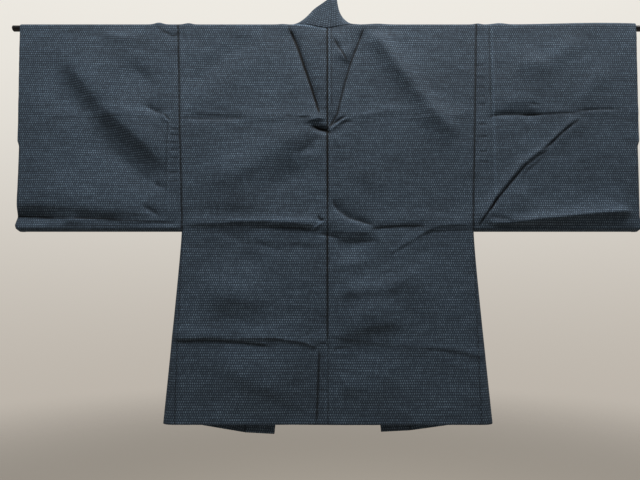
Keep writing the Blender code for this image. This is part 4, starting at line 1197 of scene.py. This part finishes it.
# Sections of the collar round the neck. The place is the share of the way from the centre back to the
# neck's corner, and from 1 to 2 on over the rod. Each gives the band's bend and its free edge as (x, y, z).
CollarSection = namedtuple("CollarSection", "place bend free")
COLLAR_NECK = (
    CollarSection(-2.00, (-0.051, 0.0095, 0.000), (-0.024, 0.0090, -0.002)),
    CollarSection(-1.50, (-0.054, 0.0100, 0.007), (-0.034, 0.0105, 0.009)),
    CollarSection(-1.00, (-0.058, 0.0040, 0.013), (-0.043, 0.0060, 0.024)),
    CollarSection(-0.75, (-0.049, -0.0030, 0.020), (-0.036, -0.0010, 0.035)),
    CollarSection(-0.50, (-0.032, -0.0070, 0.024), (-0.023, -0.0065, 0.046)),
    CollarSection(-0.25, (-0.013, -0.0074, 0.028), (-0.006, -0.0072, 0.059)),
    CollarSection(0.00, (0.004, -0.0076, 0.032), (0.008, -0.0076, 0.069)),
    CollarSection(0.25, (0.020, -0.0076, 0.034), (0.018, -0.0076, 0.075)),
    CollarSection(0.50, (0.033, -0.0050, 0.014), (0.0205, 0.0000, 0.055)),
    CollarSection(0.75, (0.047, 0.0030, 0.0100), (0.026, 0.0050, 0.033)),
    CollarSection(1.00, (0.055, 0.0080, 0.0085), (0.035, 0.0090, 0.016)),
    CollarSection(1.50, (0.053, 0.0105, 0.0040), (0.032, 0.0105, 0.006)),
    CollarSection(2.00, (0.051, 0.0095, 0.000), (0.024, 0.0090, -0.002)),
)


def through(knots, share):
    """A point on the smooth curve between the second and third of four knots."""
    before, start, end, after = (np.array(knot) for knot in knots)
    return 0.5 * (
        2 * start
        + (end - before) * share
        + (2 * before - 5 * start + 4 * end - after) * share ** 2
        + (3 * start - before - 3 * end + after) * share ** 3
    )


def on_inner_face(face, x, level, lower=1.0):
    """A point on the cloth's inner face, which is where the collar is sewn."""
    return hung(float(face), np.array(x), np.array(level), lower, CLOTH)


def neck_section(place):
    """Seam, bend, free edge and the way the seam faces, at one place round the neck."""
    side = math.copysign(1.0, place)
    if abs(place) >= 1.0:
        level = TOP_OF_ROD * (2.0 - abs(place))
        seam = on_inner_face(1, side * NECK_HALF, level)
        turn = level / HANG
        outward = np.array([0.0, math.cos(turn), math.sin(turn)])
    else:
        level = float(neckline(abs(place) * NECK_HALF))
        seam = on_inner_face(-1, place * NECK_HALF, level)
        turn = max(0.0, level) / HANG
        outward = np.array([0.0, -math.cos(turn), math.sin(turn)])
    index = max(row for row, section in enumerate(COLLAR_NECK[:-1]) if section.place <= place)
    rows = [COLLAR_NECK[min(len(COLLAR_NECK) - 1, max(0, index + step))] for step in (-1, 0, 1, 2)]
    share = (place - rows[1].place) / (rows[2].place - rows[1].place)
    bend = through([section.bend for section in rows], share)
    free = through([section.free for section in rows], share)
    return seam, bend, free, outward


def collar_sections():
    """All sections of the band, from the left front's hem round the neck to the right front's."""
    sections = []
    levels = spaced(-BODY_DROP, COLLAR_TOP_LEVEL, COLLAR_ROW_STEP, COLLAR_TOP_FINE)
    neck_count = round(2.0 * NECK_HALF / COLLAR_NECK_STEP)
    over_rod = 2.0 - np.arange(COLLAR_OVER_ROD_STEPS) / COLLAR_OVER_ROD_STEPS
    neck = np.linspace(-1.0, 1.0, neck_count + 1)
    places = np.concatenate((-over_rod, neck, over_rod[::-1]))
    for side in (-1, 1):
        front = []
        lower = 1.0 + FRONT_POINT[side]
        for level in levels:
            edge = float(front_edge(level))
            seam = on_inner_face(1, side * edge, level, lower)
            free = on_inner_face(1, side * (edge - COLLAR_WIDTH), level, lower + COLLAR_END_SLOPE)
            front.append((seam, (seam + free) / 2, free, np.array([0.0, 1.0, 0.0])))
        if side < 0:
            sections += front + [neck_section(float(place)) for place in places]
        else:
            sections += front[::-1]
    return sections


def collar_mesh():
    """A closed band: its outer side, its rounded free edge, its inner side and its seam edge."""
    sections = collar_sections()
    half = COLLAR_CLOTH / 2
    at_edge = np.array(COLLAR_EDGE_SHARES)
    shares = np.concatenate((at_edge, COLLAR_SHARES, 1.0 - at_edge[::-1]))
    middle = []
    for seam, bend, free, _ in sections:
        first = seam[None, :] + (bend - seam)[None, :] * shares[:, None]
        second = bend[None, :] + (free - bend)[None, :] * shares[:, None]
        middle.append(first + (second - first) * shares[:, None])
    middle = np.array(middle)
    along = np.gradient(middle, axis=0)
    across = np.gradient(middle, axis=1)
    facing = np.cross(along, across)
    facing /= np.linalg.norm(facing, axis=-1, keepdims=True)
    seam_facing = np.array([outward for *_, outward in sections])[:, None, :]
    blend = smooth(2.0 * shares)[None, :, None]
    facing = seam_facing * (1.0 - blend) + facing * blend
    facing /= np.linalg.norm(facing, axis=-1, keepdims=True)
    middle = middle + half * facing
    from_edge = np.minimum(shares, 1.0 - shares) * COLLAR_WIDTH
    thick = half * np.sqrt(1.0 - np.clip(1.0 - from_edge / half, 0.0, 1.0) ** 2)
    offset = facing * thick[None, :, None]
    loop = np.concatenate((middle + offset, (middle - offset)[:, -2::-1]), axis=1)
    widths = np.linalg.norm(np.diff(middle, axis=1), axis=-1).sum(axis=1)
    width = widths[:, None] * row_of(shares, 2.0 - shares[-2::-1])
    lengths = np.linalg.norm(np.diff(middle[:, len(shares) // 2], axis=0), axis=-1)
    length = np.concatenate(([0.0], np.cumsum(lengths)))
    cut = np.stack(np.broadcast_arrays(width + CUT_OF_COLLAR, length[:, None]), axis=-1)
    return loop, cut


def capped(mesh):
    """Closes the two open ends of a band."""
    made = bmesh.new()
    made.from_mesh(mesh)
    bmesh.ops.holes_fill(made, edges=[edge for edge in made.edges if edge.is_boundary])
    made.to_mesh(mesh)
    made.free()
    mesh.shade_smooth()
    return mesh


loop, cut = collar_mesh()
mesh = capped(cloth_mesh([(loop, cut, 0.0)], False))
mesh.name = "haori_collar"
mesh.materials.append(indigo)
collar = bpy.data.objects.new("haori_collar", mesh)
bpy.context.scene.collection.objects.link(collar)
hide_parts("collar")
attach(collar, "root")


# Floor
# A plain pale round of floor that fades out into the pale room round it.
FLOOR_Z = -1.60
FLOOR_RADIUS = 6.0
FLOOR_SIDES = 96
FLOOR_COLOUR = (0.62, 0.57, 0.50, 1.0)
FLOOR_ROUGHNESS = 0.95
FLOOR_SPECULAR = 0.1
FADE_FROM = 1.2
FADE_TO = 5.0
mesh = bpy.data.meshes.new("floor")
angles = np.linspace(0.0, 2.0 * math.pi, FLOOR_SIDES, endpoint=False)
rim = [(FLOOR_RADIUS * math.cos(angle), FLOOR_RADIUS * math.sin(angle), 0.0) for angle in angles]
mesh.from_pydata(rim, [], [tuple(range(FLOOR_SIDES))])
floor_material, tree, shader = new_material("pale_floor")
shader.inputs["Base Color"].default_value = FLOOR_COLOUR
shader.inputs["Roughness"].default_value = FLOOR_ROUGHNESS
shader.inputs["Specular IOR Level"].default_value = FLOOR_SPECULAR
place = add_node(tree, "ShaderNodeTexCoord").outputs["Object"]
reach = add_node(tree, "ShaderNodeVectorMath", {0: place}, operation="LENGTH")
gone = add_node(
    tree,
    "ShaderNodeMapRange",
    {"Value": reach.outputs["Value"], "From Min": FADE_FROM, "From Max": FADE_TO},
    interpolation_type="SMOOTHSTEP",
)
clear = add_node(tree, "ShaderNodeBsdfTransparent").outputs["BSDF"]
faded = add_node(
    tree,
    "ShaderNodeMixShader",
    {0: gone.outputs["Result"], 1: shader.outputs["BSDF"], 2: clear},
)
tree.links.new(faded.outputs["Shader"], tree.nodes["Material Output"].inputs["Surface"])
mesh.materials.append(floor_material)
floor = bpy.data.objects.new("floor", mesh)
floor.location.z = FLOOR_Z
bpy.context.scene.collection.objects.link(floor)


# Light
# One long soft lamp high in front of the haori, as in a room lit from its ceiling, a weaker one for the
# side that faces away, and a weak even fill. The camera sees the room as pale walls with painted light on
# them, brighter high up and darker low down as if lit from the ceiling; the world itself lights the haori
# only with the weak even fill.
ROOM_HIGH = (0.86, 0.83, 0.77, 1.0)
ROOM_LOW = (0.50, 0.455, 0.40, 1.0)
ROOM_FILL = (0.080, 0.078, 0.075, 1.0)
ROOM_LOW_TO = -0.25
ROOM_HIGH_FROM = 0.60
LAMP_COLOUR = (1.0, 0.98, 0.95)
Lamp = namedtuple("Lamp", "name place aim width height power")
LAMPS = (
    Lamp("ceiling_lamp", (0.15, -0.62, 1.25), (0.0, -0.05, -0.40), 2.6, 0.40, 56.0),
    Lamp("far_side_lamp", (0.30, 1.30, 1.60), (0.0, 0.0, -0.40), 2.0, 0.60, 30.0),
)
for lamp in LAMPS:
    data = bpy.data.lights.new(lamp.name, "AREA")
    data.shape = "RECTANGLE"
    data.size = lamp.width
    data.size_y = lamp.height
    data.energy = lamp.power
    data.color = LAMP_COLOUR
    item = bpy.data.objects.new(lamp.name, data)
    bpy.context.scene.collection.objects.link(item)
    item.location = lamp.place
    item.rotation_mode = "QUATERNION"
    item.rotation_quaternion = (Vector(lamp.aim) - Vector(lamp.place)).to_track_quat("-Z", "Y")
world = bpy.data.worlds.new("pale_room")
bpy.context.scene.world = world
world.use_nodes = True
tree = world.node_tree
toward = add_node(tree, "ShaderNodeTexCoord").outputs["Generated"]
up = add_node(tree, "ShaderNodeSeparateXYZ", {"Vector": toward}).outputs["Z"]
height = add_node(
    tree,
    "ShaderNodeMapRange",
    {"Value": up, "From Min": ROOM_LOW_TO, "From Max": ROOM_HIGH_FROM},
    interpolation_type="SMOOTHSTEP",
)
# painted light: the walls the camera sees are brighter high up and darker low down
wall = add_node(
    tree,
    "ShaderNodeMix",
    {"Factor": height.outputs["Result"], "A": ROOM_LOW, "B": ROOM_HIGH},
    data_type="RGBA",
)
seen = add_node(tree, "ShaderNodeLightPath").outputs["Is Camera Ray"]
room = add_node(
    tree,
    "ShaderNodeMix",
    {"Factor": seen, "A": ROOM_FILL, "B": wall.outputs["Result"]},
    data_type="RGBA",
)
tree.links.new(room.outputs["Result"], tree.nodes["Background"].inputs["Color"])
tree.nodes["Background"].inputs["Strength"].default_value = 1.0


# Camera
# In front of the garment's lower half and tilted up a little, as the photo was taken.
CAMERA_PLACE = (-0.016, -1.0150, -0.5996)
CAMERA_TILT_UP = 6.8
FOCAL_LENGTH = 27.0
SENSOR_WIDTH = 36.0
camera_data = bpy.data.cameras.new("camera")
camera_data.lens = FOCAL_LENGTH
camera_data.sensor_width = SENSOR_WIDTH
camera_data.clip_start = 0.01
camera = bpy.data.objects.new("camera", camera_data)
camera.location = CAMERA_PLACE
camera.rotation_euler = (math.radians(90.0 + CAMERA_TILT_UP), 0.0, 0.0)
bpy.context.scene.collection.objects.link(camera)
bpy.context.scene.camera = camera
bpy.context.scene.view_settings.view_transform = "Standard"
